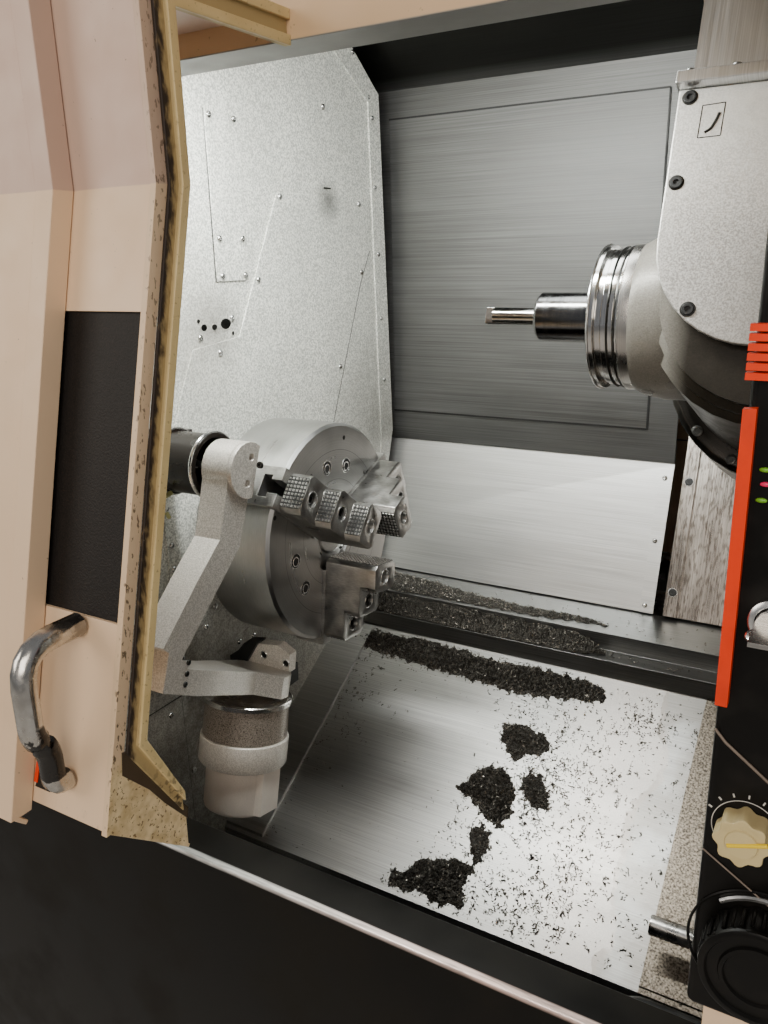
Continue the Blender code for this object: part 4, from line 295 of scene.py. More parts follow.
# Name, place, aim, width, height, power and tint of each lamp
LAMPS = (
    ("front_softbox", (1.3, -2.8, 1.2), (0.1, 0.0, 0.0), 2.2, 1.6, 54.0, (1.0, 0.90, 0.78)),
    ("work_lamp", (0.10, -0.175, 0.575), (0.06, 0.22, -0.10), 0.44, 0.05, 8.5, (0.97, 1.0, 0.96)),
    ("upper_lamp", (0.22, 0.10, 0.84), (0.16, 0.12, 0.0), 0.40, 0.20, 2.4, (0.97, 1.0, 0.97)),
    ("left_softbox", (-2.6, -3.0, 1.5), (-0.1, -0.3, 0.1), 2.0, 2.0, 54.0, (1.0, 0.91, 0.80)),
    ("rear_softbox", (1.5, 4.2, 1.9), (0.0, 0.6, 0.0), 2.4, 2.0, 110.0, (0.95, 0.97, 1.0)))
FLOOR_REACH = 9.0
ROOM_TINT, ROOM_LIGHT = (0.86, 0.88, 0.92, 1.0), 0.26
CAMERA_SPOT = (0.6203, -0.9190, 0.3627)
CAMERA_YAW, CAMERA_PITCH, CAMERA_ROLL = math.radians(30.399), math.radians(16.873), math.radians(-1.338)
LENS, SENSOR, NEAREST = 29.157, 36.0, 0.01


def at(x, y, z):
    """A place counted from the centre of the chuck's face."""
    return CHUCK_FACE + Vector((x, y, z))


HEAD_CENTRE = at(0.542, 0.0, 0.298)
HUB_CENTRE = at(-0.075, -0.122, -0.215)


def slanted(centre, x, up, out):
    """A place in the slanted directions of the column, counted from a centre."""
    return centre + ALONG * x + UP_BACK * up + FRONT_UP * out


# Surfaces
class Finish:
    """One named surface: a Principled shader fed by layers of noise sized in metres."""

    def __init__(self, name, rough, metal=0.0):
        self.material = bpy.data.materials.new(name)
        self.material.use_nodes = True
        self.tree = self.material.node_tree
        self.shader = self.tree.nodes["Principled BSDF"]
        self.shader.inputs["Metallic"].default_value = metal
        self.shader.inputs["Roughness"].default_value = rough
        self.place = self.node("ShaderNodeTexCoord").outputs["Object"]

    def node(self, kind, **values):
        made = self.tree.nodes.new(kind)
        for label, value in values.items():
            setattr(made, label, value)
        return made

    def feed(self, socket, value):
        if isinstance(value, bpy.types.NodeSocket):
            self.tree.links.new(value, socket)
        elif hasattr(value, "__len__") and len(value) == 3 and socket.type == "RGBA":
            socket.default_value = (*value, 1.0)
        else:
            socket.default_value = value

    def texture(self, kind, size, stretch, place):
        """A texture node whose features have a size, drawn out along some axes."""
        spread = self.node("ShaderNodeMapping")
        self.feed(spread.inputs["Vector"], place or self.place)
        spread.inputs["Scale"].default_value = [1.0 / (size * s) for s in stretch]
        made = self.node(kind)
        self.feed(made.inputs["Vector"], spread.outputs["Vector"])
        made.inputs["Scale"].default_value = 1.0
        return made

    def cloud(self, size, detail=3.0, stretch=(1.0, 1.0, 1.0), place=None):
        """Noise from 0 to 1."""
        made = self.texture("ShaderNodeTexNoise", size, stretch, place)
        made.inputs["Detail"].default_value = detail
        return made.outputs["Fac"]

    def cells(self, size):
        """Distance to the nearest of many scattered points, from 0."""
        return self.texture("ShaderNodeTexVoronoi", size, (1.0, 1.0, 1.0), None).outputs["Distance"]

    def axis(self, letter, place=None):
        parts = self.node("ShaderNodeSeparateXYZ")
        self.feed(parts.inputs[0], place or self.place)
        return parts.outputs[letter]

    def sum_up(self, kind, one, two=0.0):
        """One sum on two values."""
        done = self.node("ShaderNodeMath", operation=kind)
        self.feed(done.inputs[0], one)
        self.feed(done.inputs[1], two)
        return done.outputs[0]

    def times(self, one, two):
        return self.sum_up("MULTIPLY", one, two)

    def plus(self, one, two):
        return self.sum_up("ADD", one, two)

    def vector(self, kind, one, two, socket=1):
        """A sum on two vectors, or on a vector and what another socket takes."""
        done = self.node("ShaderNodeVectorMath", operation=kind)
        self.feed(done.inputs[0], one)
        self.feed(done.inputs[socket], two)
        return done

    def between(self, value, low, high, first=0.0, last=1.0):
        """A value spread from low..high to first..last and held there."""
        spread = self.node("ShaderNodeMapRange")
        spread.clamp = True
        self.feed(spread.inputs["Value"], value)
        for label, number in (("From Min", low), ("From Max", high), ("To Min", first), ("To Max", last)):
            spread.inputs[label].default_value = number
        return spread.outputs["Result"]

    def part(self, share, most):
        """A share from 0 to 1 held down to a lesser most."""
        return self.between(share, 0.0, 1.0, 0.0, most)

    def patch(self, size, detail, low, high, first=0.0, last=1.0, stretch=(1.0, 1.0, 1.0)):
        """Noise of a size, spread from low..high to first..last."""
        return self.between(self.cloud(size, detail, stretch), low, high, first, last)

    def band(self, letter, low, high, first=0.0, last=1.0):
        """The way along an axis, spread from low..high to first..last."""
        return self.between(self.axis(letter), low, high, first, last)

    def near(self, spot, inner, outer):
        """1 inside a ball about a spot, falling to 0 at its outer radius."""
        return self.between(self.vector("DISTANCE", self.place, spot).outputs["Value"], inner, outer, 1.0, 0.0)

    def round_about(self, centre, axis):
        """A vector holding the way along an axis and the distance from it."""
        away = self.vector("SUBTRACT", self.place, centre).outputs["Vector"]
        along = self.vector("DOT_PRODUCT", away, axis).outputs["Value"]
        scaled = self.vector("SCALE", axis, along, "Scale").outputs["Vector"]
        side = self.vector("SUBTRACT", away, scaled).outputs["Vector"]
        length = self.node("ShaderNodeVectorMath", operation="LENGTH")
        self.feed(length.inputs[0], side)
        pair = self.node("ShaderNodeCombineXYZ")
        self.feed(pair.inputs[0], along)
        self.feed(pair.inputs[1], length.outputs["Value"])
        return pair.outputs["Vector"]

    def blend(self, share, one, two):
        """One colour where the share is 0 and the other where it is 1."""
        mixed = self.node("ShaderNodeMix", data_type="RGBA")
        for socket, value in ((0, share), (6, one), (7, two)):
            self.feed(mixed.inputs[socket], value)
        return mixed.outputs[2]

    def colour(self, value):
        self.feed(self.shader.inputs["Base Color"], value)

    def over(self, share, colour):
        """Lays a colour over the present one where a share is 1."""
        self.colour(self.blend(share, self.shader.inputs["Base Color"].links[0].from_socket, colour))

    def dull(self, share):
        """Weakens the mirror sheen of a dark surface."""
        self.shader.inputs["Specular IOR Level"].default_value = share

    def metal(self, value):
        self.feed(self.shader.inputs["Metallic"], value)

    def rough(self, value):
        self.feed(self.shader.inputs["Roughness"], value)

    def relief(self, height, depth, strength=1.0):
        """Bump from a height of 0 to 1."""
        bump = self.node("ShaderNodeBump")
        bump.inputs["Strength"].default_value = strength
        bump.inputs["Distance"].default_value = depth
        self.feed(bump.inputs["Height"], height)
        self.feed(self.shader.inputs["Normal"], bump.outputs["Normal"])


def painted(name, colour, dirt, rough=0.42, dirt_from=0.56):
    """Sprayed paint with fine orange-peel relief, light soiling and small marks."""
    paint = Finish(name, rough)
    paint.colour(paint.blend(paint.part(paint.patch(0.22, 6.0, dirt_from, dirt_from + 0.22), 0.55), colour, dirt))
    paint.over(paint.part(paint.patch(0.006, 2.0, 0.70, 0.76), 0.5), dirt)
    paint.rough(paint.patch(0.03, 4.0, 0.3, 0.7, rough - 0.08, rough + 0.12))
    paint.relief(paint.cloud(0.0018, 2.0), 0.0002, 0.25)
    return paint


def brushed(name, dark, light, stretch, rough=0.32, line=0.0011, patch=0.18):
    """Brushed sheet: long fine lines along one way, with duller and brighter patches."""
    sheet = Finish(name, rough, 1.0)
    lines = sheet.cloud(line, 4.0, stretch)
    broad = sheet.cloud(patch, 5.0, [s ** 0.25 for s in stretch])
    sheet.colour(sheet.blend(sheet.times(sheet.between(lines, 0.25, 0.75, 0.35, 1.0),
                                         sheet.between(broad, 0.3, 0.7, 0.6, 1.0)), dark, light))
    sheet.rough(sheet.plus(sheet.between(lines, 0.2, 0.8, rough - 0.06, rough + 0.08),
                           sheet.between(broad, 0.35, 0.65, 0.0, 0.08)))
    sheet.relief(lines, 0.00008, 0.35)
    return sheet


def turned_steel(name, dark, light, centre, axis, rough=0.28):
    """Turned steel: fine lines round an axis on rims and rings on faces."""
    steel = Finish(name, rough, 1.0)
    way = steel.round_about(centre, axis)
    lines = steel.cloud(0.0009, 3.0, place=way)
    rings = steel.cloud(0.0126, 2.0, place=way)
    film = steel.cloud(0.05, 5.0)
    steel.colour(steel.blend(steel.times(steel.between(lines, 0.3, 0.7, 0.6, 1.0),
                                         steel.between(film, 0.3, 0.7, 0.65, 1.0)), dark, light))
    steel.rough(steel.plus(steel.between(rings, 0.3, 0.7, rough - 0.05, rough + 0.06),
                           steel.between(film, 0.4, 0.7, 0.0, 0.10)))
    steel.relief(lines, 0.00006, 0.3)
    return steel


def machined(name, dark, light, rough=0.34, grain=0.0012):
    """Milled and oiled steel with a fine grain and darker oil film."""
    steel = Finish(name, rough, 1.0)
    grains = steel.cloud(grain, 3.0, (6.0, 1.0, 1.0))
    film = steel.cloud(0.02, 5.0)
    steel.colour(steel.blend(steel.times(steel.between(grains, 0.3, 0.7, 0.6, 1.0),
                                         steel.between(film, 0.35, 0.65, 0.5, 1.0)), dark, light))
    steel.rough(steel.between(film, 0.3, 0.7, rough - 0.08, rough + 0.12))
    steel.relief(grains, 0.00008, 0.35)
    return steel


def speckled(name, dark, light, rough, size, metal, stains_and_painted_light=()):
    """Metal or metallic paint with bright and dark speckles, and patches of (spot, inner, outer, colour, most): stains
    and darker patches, and on the head's cover a painted highlight.
    """
    coat = Finish(name, rough, metal)
    dots = coat.cloud(size, 2.0)
    tone = coat.times(coat.between(dots, 0.38, 0.62, 0.15, 1.0), coat.patch(0.12, 5.0, 0.25, 0.75, 0.72, 1.0))
    coat.colour(coat.blend(tone, dark, light))
    coat.over(coat.between(coat.cells(size * 1.6), 0.0, 0.25, 0.55, 0.0), light)
    for spot, inner, outer, colour, most in stains_and_painted_light:
        coat.over(coat.times(coat.near(spot, inner, outer), coat.patch(0.012, 5.0, 0.30, 0.70, most * 0.7, most)),
                  colour)
    coat.rough(coat.between(dots, 0.3, 0.7, rough - 0.1, rough + 0.12))
    coat.relief(dots, 0.00015, 0.35)
    return coat


def cast(name, dark, light, rough=0.55, metal=0.0):
    """A rough painted or bare casting."""
    coat = Finish(name, rough, metal)
    grain = coat.cloud(0.0016, 4.0)
    film = coat.cloud(0.04, 6.0)
    coat.colour(coat.blend(coat.times(coat.between(grain, 0.3, 0.7, 0.55, 1.0),
                                      coat.between(film, 0.3, 0.68, 0.35, 1.0)), dark, light))
    coat.rough(coat.between(film, 0.3, 0.7, rough - 0.12, rough + 0.1))
    coat.relief(grain, 0.0004, 0.5)
    return coat


def plastic(name, colour, worn, rough=0.45):
    """Moulded plastic with a fine grain and finger marks."""
    shell = Finish(name, rough)
    marks = shell.patch(0.03, 6.0, 0.5, 0.75)
    shell.colour(shell.blend(shell.part(marks, 0.6), colour, worn))
    shell.rough(shell.between(marks, 0.0, 1.0, rough, rough + 0.18))
    shell.relief(shell.cloud(0.0007, 2.0), 0.0001, 0.3)
    return shell


# Kind, settings and, where it is dulled, the sheen of each finish
FINISHES = {
    "screw_steel": (machined, ((0.34, 0.34, 0.33), (0.80, 0.80, 0.79), 0.24)),
    # Dark steel of screws, and the dark of the painted shade in the wall's holes and slot and along its plates' edges
    "dark_screw_steel": (machined, ((0.012, 0.012, 0.012), (0.10, 0.10, 0.095), 0.32)),
    "bright_steel": (turned_steel, ((0.50, 0.50, 0.49), (0.86, 0.86, 0.85), CHUCK_FACE, ALONG, 0.18)),
    # Black rubber, and the black of the painted shade in the knurls' grooves, the chuck's screw holes and the gap by
    # the door
    "seal_rubber": (plastic, ((0.006, 0.006, 0.006), (0.02, 0.02, 0.02), 0.5)),
    "signal_orange": (plastic, ((0.80, 0.042, 0.003), (0.50, 0.030, 0.004), 0.36), 0.3),
    "galvanised_wall": (speckled, ((0.36, 0.37, 0.335), (1.0, 1.0, 0.93), 0.48, 0.0024, 0.15,
                                   [(at(WALL, y, z), *rest) for y, z, *rest in WALL_DARK_PATCHES])),
    "machine_casting": (cast, ((0.10, 0.11, 0.10), (0.32, 0.34, 0.32), 0.5)),
    "ground_ways": (machined, ((0.30, 0.30, 0.30), (0.66, 0.66, 0.66), 0.25)),
    "trough_paint": (painted, ((0.0035, 0.0032, 0.0028), (0.016, 0.013, 0.010), 0.5), 0.10),
    "frame_grime": (painted, ((0.10, 0.065, 0.033), (0.018, 0.011, 0.006), 0.6, 0.34)),
    "rear_sheet_steel": (brushed, ((0.058, 0.058, 0.056), (0.225, 0.225, 0.222), (150.0, 1.0, 1.0), 0.46, 0.0014,
                                   0.10)),
    "lower_cover_steel": (brushed, ((0.40, 0.40, 0.395), (0.80, 0.80, 0.79), (170.0, 1.0, 1.0), 0.34, 0.0010, 0.3)),
    "column_cover_steel": (brushed, ((0.035, 0.030, 0.026), (0.58, 0.53, 0.48), (1.0, 50.0, 130.0), 0.26, 0.0016,
                                     0.030)),
    "ledge_steel": (brushed, ((0.06, 0.06, 0.058), (0.34, 0.34, 0.33), (120.0, 1.0, 1.0), 0.34, 0.0012, 0.10)),
    "slide_steel": (brushed, ((0.23, 0.226, 0.215), (0.60, 0.59, 0.57), (120.0, 1.0, 1.0), 0.36, 0.0014, 0.12)),
    "chip_steel": (machined, ((0.018, 0.016, 0.014), (0.24, 0.22, 0.19), 0.34, 0.004)),
    "ram_steel": (brushed, ((0.40, 0.40, 0.40), (0.80, 0.80, 0.80), (1.0, 60.0, 160.0), 0.32, 0.0010, 0.1)),
    # The blasted cover's first patch is a painted highlight, a near-white pool of light at its top; its second darkens
    # the cover low in the middle
    "blasted_cover": (speckled, ((0.36, 0.345, 0.32), (0.66, 0.64, 0.61), 0.40, 0.0016, 0.5, (
        (slanted(HEAD_CENTRE, -0.03, 0.17, 0.1), 0.02, 0.12, (0.95, 0.94, 0.90), 0.8),
        (slanted(HEAD_CENTRE, 0.02, -0.03, 0.1), 0.01, 0.09, (0.20, 0.18, 0.155), 0.55)))),
    "swivel_casting": (cast, ((0.004, 0.003, 0.002), (0.028, 0.023, 0.016), 0.36, 0.1), 0.25),
    "dark_ring_steel": (turned_steel, ((0.010, 0.010, 0.009), (0.11, 0.10, 0.09), HEAD_CENTRE, FRONT_UP, 0.22)),
    "polished_collar": (turned_steel, ((0.26, 0.25, 0.235), (0.80, 0.79, 0.77), HEAD_CENTRE, ALONG, 0.13)),
    "satin_collar": (turned_steel, ((0.20, 0.185, 0.17), (0.66, 0.64, 0.61), HEAD_CENTRE, ALONG, 0.26)),
    "boring_bar_steel": (turned_steel, ((0.16, 0.16, 0.15), (0.60, 0.60, 0.58), HEAD_CENTRE, ALONG, 0.12)),
    "black_holder": (turned_steel, ((0.030, 0.030, 0.032), (0.20, 0.20, 0.20), HEAD_CENTRE, ALONG, 0.13)),
    "ground_chuck_steel": (turned_steel, ((0.22, 0.22, 0.213), (0.56, 0.56, 0.55), CHUCK_FACE, ALONG, 0.30)),
    "jaw_steel": (machined, ((0.15, 0.145, 0.135), (0.54, 0.53, 0.51), 0.34)),
    "setter_aluminium": (speckled, ((0.44, 0.41, 0.37), (0.84, 0.80, 0.74), 0.38, 0.0015, 0.6, (
        (slanted(HUB_CENTRE, -0.02, 0.10, 0.22), 0.04, 0.13, (0.28, 0.22, 0.18), 0.5),))),
    "parking_tube_paint": (painted, ((0.012, 0.009, 0.007), (0.035, 0.028, 0.022), 0.30), 0.3),
    "stylus_steel": (machined, ((0.2, 0.2, 0.2), (0.6, 0.6, 0.6), 0.3)),
    "tag_plastic": (plastic, ((0.42, 0.40, 0.16), (0.20, 0.18, 0.08), 0.5)),
    "hub_dark_coat": (speckled, ((0.16, 0.135, 0.11), (0.44, 0.385, 0.33), 0.34, 0.0016, 0.4)),
    "hub_band_coat": (speckled, ((0.62, 0.58, 0.52), (0.96, 0.92, 0.85), 0.45, 0.0016, 0.2)),
    "hub_cover_coat": (cast, ((0.78, 0.70, 0.62), (0.98, 0.89, 0.80), 0.45, 0.05)),
    "panel_black": (plastic, ((0.0035, 0.0032, 0.0028), (0.014, 0.012, 0.010), 0.34), 0.2),
    "pipe_steel": (machined, ((0.3, 0.29, 0.27), (0.75, 0.73, 0.70), 0.25)),
    "dial_cream": (plastic, ((0.58, 0.47, 0.24), (0.34, 0.25, 0.11), 0.4)),
    "stop_red": (plastic, ((0.55, 0.01, 0.01), (0.35, 0.01, 0.01), 0.3)),
    "screen_dark": (plastic, ((0.01, 0.012, 0.016), (0.03, 0.03, 0.035), 0.15)),
    "print_white": (plastic, ((0.62, 0.60, 0.56), (0.30, 0.29, 0.27), 0.5)),
    "light_green": (plastic, ((0.16, 0.42, 0.02), (0.10, 0.28, 0.02), 0.3)),
    "light_pink": (plastic, ((0.80, 0.02, 0.12), (0.55, 0.02, 0.08), 0.3)),
    "pointer_yellow": (plastic, ((0.85, 0.60, 0.01), (0.60, 0.40, 0.01), 0.35)),
    "panel_line": (plastic, ((0.16, 0.12, 0.09), (0.08, 0.06, 0.045), 0.4)),
    "coolant_pipe_steel": (machined, ((0.3, 0.29, 0.27), (0.75, 0.73, 0.70), 0.25)),
    "hose_rubber": (plastic, ((0.010, 0.010, 0.010), (0.04, 0.04, 0.035), 0.4)),
}


def new_finish(name):
    """A finish made anew from the table, for a step that lays more over it."""
    kind, settings, *sheen = FINISHES[name]
    made = kind(name, *settings)
    if sheen:
        made.dull(*sheen)
    return made


@functools.cache
def finish(name):
    """The finish of a name as the table has it, made when it is first asked for."""
    return new_finish(name)


# Objects and small shapes
def body_of(node):
    """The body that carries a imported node."""
    return next(body for body, nodes in frame["record"]["behaviour"]["bodies"].items() if node in nodes)


def linked(name, data):
    """A new object in the scene."""
    made = bpy.data.objects.new(name, data)
    bpy.context.scene.collection.objects.link(made)
    return made


def outward_mesh(name, points, faces):
    """A mesh whose faces look outward."""
    mesh = bpy.data.meshes.new(name)
    mesh.from_pydata([tuple(p) for p in points], [], faces)
    form = bmesh.new()
    form.from_mesh(mesh)
    bmesh.ops.recalc_face_normals(form, faces=form.faces)
    form.to_mesh(mesh)
    form.free()
    return mesh


def applied(made):
    """The mesh of an object with its modifiers worked in."""
    return bpy.data.meshes.new_from_object(made.evaluated_get(bpy.context.evaluated_depsgraph_get()))


def bevel(made, width, angle):
    """Eases the edges where faces meet at more than an angle."""
    step = made.modifiers.new("ease", "BEVEL")
    step.width = width
    step.segments = 2
    step.limit_method = "ANGLE"
    step.angle_limit = angle


def clad(mesh, surface):
    """Gives a mesh one finish."""
    mesh.materials.clear()
    mesh.materials.append(surface.material)


def soften(node, surface, width, reshape=None):
    """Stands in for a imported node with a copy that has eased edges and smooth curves."""
    made = frame["nodes"][node].copy()
    made.data = frame["nodes"][node].data.copy()
    made.name = made.data.name = node + "_fine"
    made.parent = None
    made.matrix_world = Matrix.Identity(4)
    bpy.context.scene.collection.objects.link(made)
    form = bmesh.new()
    form.from_mesh(made.data)
    bmesh.ops.remove_doubles(form, verts=form.verts, dist=0.00002)
    bmesh.ops.dissolve_limit(form, angle_limit=math.radians(0.6), verts=form.verts, edges=form.edges)
    if reshape:
        for vertex in form.verts:
            vertex.co = reshape(vertex.co)
    form.to_mesh(made.data)
    form.free()
    if width:
        bevel(made, width, EASE_ANGLE)
    made.data.shade_smooth()
    made.modifiers.new("normals", "WEIGHTED_NORMAL").keep_sharp = True
    mesh = applied(made)
    made.modifiers.clear()
    made.data = mesh
    mesh.name = made.name
    clad(mesh, surface)
    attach(made, body_of(node))
    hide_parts(node)


def ease(surface, width, *nodes):
    """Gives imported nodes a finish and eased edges."""
    for node in nodes:
        soften(node, surface, width)


def dress(surface, *nodes):
    """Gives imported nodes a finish."""
    for node in nodes:
        clad(frame["nodes"][node].data, surface)


def piece(name, points, faces, surface, body, slot, smooth=True):
    """Makes a piece from points and faces, and hangs it on a body."""
    mesh = outward_mesh(name, points, faces)
    if smooth:
        mesh.shade_smooth()
        mesh.set_sharp_from_angle(angle=SHARP_PIECE)
    clad(mesh, surface)
    made = linked(name, mesh)
    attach(made, body)
    return made


def facing(direction, roll=0.0):
    """A turn that points local Z along a direction."""
    return Vector(direction).to_track_quat("Z", "Y").to_matrix().to_4x4() @ Matrix.Rotation(roll, 4, "Z")


def placed(spots, direction, turn=0.0):
    """A place at each spot that faces along a direction, each turned on from the one before."""
    return [Matrix.Translation(spot) @ facing(direction, turn * k) for k, spot in enumerate(spots)]


def quads(rings, sides):
    """Faces between rings of points that follow one another."""
    return [(ring * sides + k, ring * sides + (k + 1) % sides, (ring + 1) * sides + (k + 1) % sides,
             (ring + 1) * sides + k) for ring in range(rings - 1) for k in range(sides)]


def lids(count, sides):
    """Faces over the first and the last ring of points."""
    return [tuple(range(sides)), tuple(range(count - 1, count - sides - 1, -1))]


def lathe_shape(profile, sides=24, closed=False):
    """Points and faces of a profile of (radius, height) turned about Z, closed into a ring or capped."""
    points = [Vector((radius * math.cos(a), radius * math.sin(a), height)) for radius, height in profile
              for a in [2 * math.pi * k / sides for k in range(sides)]]
    last = (len(profile) - 1) * sides
    ends = ([(last + k, last + (k + 1) % sides, (k + 1) % sides, k) for k in range(sides)] if closed
            else lids(len(points), sides))
    return points, quads(len(profile), sides) + ends


def gathered(*shapes):
    """Several shapes joined into one list of points and faces."""
    points, faces = [], []
    for more_points, more_faces in shapes:
        faces += [tuple(len(points) + i for i in face) for face in more_faces]
        points += more_points
    return points, faces


def copies(shape, places):
    """One shape repeated at each matrix."""
    return gathered(*[([place @ p for p in shape[0]], shape[1]) for place in places])


def button_head(radius, height):
    """A domed screw head with a sunk socket."""
    socket = radius * 0.42
    return lathe_shape([(radius, -SUNK), (radius, height * 0.25), (radius * 0.9, height * 0.62),
                        (radius * 0.68, height * 0.92), (socket, height), (socket, height * 0.35),
                        (TIP, height * 0.3)], 14)


def cap_head(radius, height, sides=20):
    """A straight socket screw head with a chamfer."""
    socket = radius * 0.5
    return lathe_shape([(radius, -SUNK), (radius, height * 0.85), (radius * 0.92, height),
                        (socket, height), (socket * 0.95, height * 0.3), (TIP, height * 0.25)], sides)


def ring_shape(outer, inner, height, sides=28):
    """A low washer-like ring with eased edges."""
    chamfer = (outer - inner) * 0.2
    return lathe_shape([(outer, -SUNK), (outer, height - chamfer), (outer - chamfer, height),
                        (inner + chamfer, height), (inner, height - chamfer), (inner, -SUNK)], sides, True)


def screws(name, spots, direction, radius, height, surface, body, slot, head=button_head):
    """A row of screw heads on one face."""
    return piece(name, *copies(head(radius, height), placed(spots, direction, SOCKET_TURN)), surface, body, slot)


def rims(name, spots, direction, outer, inner, height, surface, body, slot):
    """Low rings round holes or screws on one face."""
    return piece(name, *copies(ring_shape(outer, inner, height), placed(spots, direction)), surface, body, slot)


def slab(outline, low, high):
    """Points and faces of a flat outline made thick."""
    count = len(outline)
    return ([p + low for p in outline] + [p + high for p in outline],
            [tuple(range(count)), tuple(range(2 * count - 1, count - 1, -1))] + quads(2, count))


def tube(path, radius, sides=14, ribs=0.0):
    """Points and faces of a round tube along a path, with optional ribs."""
    points, last = [], None
    for k, spot in enumerate(path):
        way = (path[min(k + 1, len(path) - 1)] - path[max(k - 1, 0)]).normalized()
        if last is None:
            last = way.orthogonal().normalized() if abs(way.dot(UP)) > 0.99 else way.cross(UP).normalized()
        side = (last - way * last.dot(way)).normalized()
        last = side
        other = way.cross(side)
        size = radius * (1.0 + (ribs if k % 2 else -ribs))
        for j in range(sides):
            a = 2 * math.pi * j / sides
            points.append(spot + side * (size * math.cos(a)) + other * (size * math.sin(a)))
    return points, quads(len(path), sides) + lids(len(points), sides)


def circle(centre, radius, steps, across):
    """A closed upright path round a centre."""
    return [centre + (across * math.cos(a) + UP * math.sin(a)) * radius
            for a in [2 * math.pi * k / steps for k in range(steps + 1)]]


def smooth_path(corners, steps):
    """A rounded path through a few corners."""
    ends = [corners[0] * 2 - corners[1]] + list(corners) + [corners[-1] * 2 - corners[-2]]
    path = []
    for k in range(1, len(ends) - 2):
        p0, p1, p2, p3 = ends[k - 1:k + 3]
        for j in range(steps):
            t = j / steps
            path.append(0.5 * ((2 * p1) + (p2 - p0) * t + (2 * p0 - 5 * p1 + 4 * p2 - p3) * t * t
                               + (3 * p1 - 3 * p2 + p3 - p0) * t * t * t))
    return path + [corners[-1]]


def combined(base, others, operation):
    """Adds working objects to another one, or cuts them out of it."""
    for other in others:
        step = base.modifiers.new("step", "BOOLEAN")
        step.operation = operation
        step.solver = "EXACT"
        step.object = other
    mesh = applied(base)
    base.modifiers.clear()
    base.data = mesh
    for other in others:
        bpy.data.objects.remove(other)


# The stage
def make_stage():
    """The floor, the soft lights and the camera."""
    pale = Finish("pale_floor", 0.85)
    pale.colour(pale.blend(pale.cloud(0.8, 3.0), (0.60, 0.59, 0.57), (0.66, 0.65, 0.63)))
    mesh = bpy.data.meshes.new("floor")
    mesh.from_pydata([(x * FLOOR_REACH, y * FLOOR_REACH, 0.0) for x, y in ((-1, -1), (1, -1), (1, 1), (-1, 1))],
                     [], [(0, 1, 2, 3)])
    clad(mesh, pale)
    linked("floor", mesh)
    world = bpy.data.worlds.new("soft_room")
    world.use_nodes = True
    world.node_tree.nodes["Background"].inputs["Color"].default_value = ROOM_TINT
    world.node_tree.nodes["Background"].inputs["Strength"].default_value = ROOM_LIGHT
    bpy.context.scene.world = world
    for name, spot, aim, wide, high, power, tint in LAMPS:
        lamp = bpy.data.lights.new(name, "AREA")
        lamp.shape = "RECTANGLE"
        lamp.size = wide
        lamp.size_y = high
        lamp.energy = power
        lamp.color = tint
        made = linked(name, lamp)
        made.matrix_world = Matrix.Translation(at(*spot)) @ facing(at(*spot) - at(*aim))
        made.visible_camera = False
    level = math.cos(CAMERA_PITCH)
    ahead = Vector((-math.sin(CAMERA_YAW) * level, math.cos(CAMERA_YAW) * level, -math.sin(CAMERA_PITCH)))
    right = Vector((math.cos(CAMERA_YAW), math.sin(CAMERA_YAW), 0.0))
    up = right.cross(ahead)
    lens = bpy.data.cameras.new("camera")
    lens.lens = LENS
    lens.sensor_width = SENSOR
    lens.clip_start = NEAREST
    camera = linked("camera", lens)
    turn = Matrix((right * math.cos(CAMERA_ROLL) + up * math.sin(CAMERA_ROLL),
                   right * -math.sin(CAMERA_ROLL) + up * math.cos(CAMERA_ROLL), -ahead))
    camera.matrix_world = Matrix.Translation(at(*CAMERA_SPOT)) @ turn.transposed().to_4x4()
    bpy.context.scene.camera = camera


# The machine's castings, casings and door
def make_base():
    """The machine's hidden castings, guideways and screw."""
    ease(finish("machine_casting"), 0.0020, "bed_casting", "headstock_housing", "column_casting", "chuck_cylinder")
    dress(finish("ground_ways"), "front_guideway", "rear_guideway", "ball_screw")


def make_casings(cream):
    """Plain cream casings, the beam with its grey underside, the black skirt and the trough."""
    plain = painted("cream_paint", cream, (0.56, 0.41, 0.25), 0.38, 0.60)
    seams = None
    for axis, places in CASING_SEAMS:
        for place in places:
            line = plain.times(plain.band(axis, place - SEAM_OUTER, place - SEAM_INNER),
                               plain.band(axis, place + SEAM_INNER, place + SEAM_OUTER, 1.0, 0.0))
            seams = line if seams is None else plain.sum_up("MAXIMUM", seams, line)
    plain.over(seams, (0.07, 0.05, 0.035))
    ease(plain, 0.0015, "left_casing", "right_casing", "roof_cover")
    beam = painted("beam_paint", (cream[0] * 0.78, cream[1] * 0.74, cream[2] * 0.66), (0.20, 0.13, 0.06), 0.40, 0.60)
    bare = beam.blend(beam.cloud(0.03, 4.0), (0.17, 0.17, 0.16), (0.27, 0.27, 0.26))
    beam.over(beam.band("Z", 1.7925, 1.7935, 1.0, 0.0), bare)
    ease(beam, 0.0008, "top_beam")
    skirt = Finish("black_skirt_paint", 0.45)
    skirt.dull(0.14)
    dust = skirt.patch(0.09, 6.0, 0.45, 0.8)
    skirt.colour(skirt.blend(skirt.part(dust, 0.35), (0.0035, 0.0030, 0.0022), (0.022, 0.018, 0.012)))
    lip = skirt.times(skirt.band("Z", 1.0435, 1.0455), skirt.band("Y", -0.6945, -0.6925, 1.0, 0.0))
    lip = skirt.times(lip, skirt.patch(0.014, 4.0, 0.26, 0.42, stretch=(6.0, 1.0, 1.0)))
    worn = skirt.blend(skirt.band("X", -0.05, 0.25), (0.72, 0.72, 0.70), (0.66, 0.50, 0.44))
    skirt.over(skirt.times(lip, skirt.patch(0.004, 4.0, 0.30, 0.55, 0.45, 1.0, (10.0, 1.0, 1.0))), worn)
    skirt.metal(lip)
    skirt.rough(skirt.between(dust, 0.0, 1.0, 0.34, 0.60))
    skirt.relief(skirt.cloud(0.0015, 2.0), 0.0001, 0.3)
    ease(skirt, 0.0020, "front_skirt")
    ease(finish("trough_paint"), 0.0010, "chip_trough")


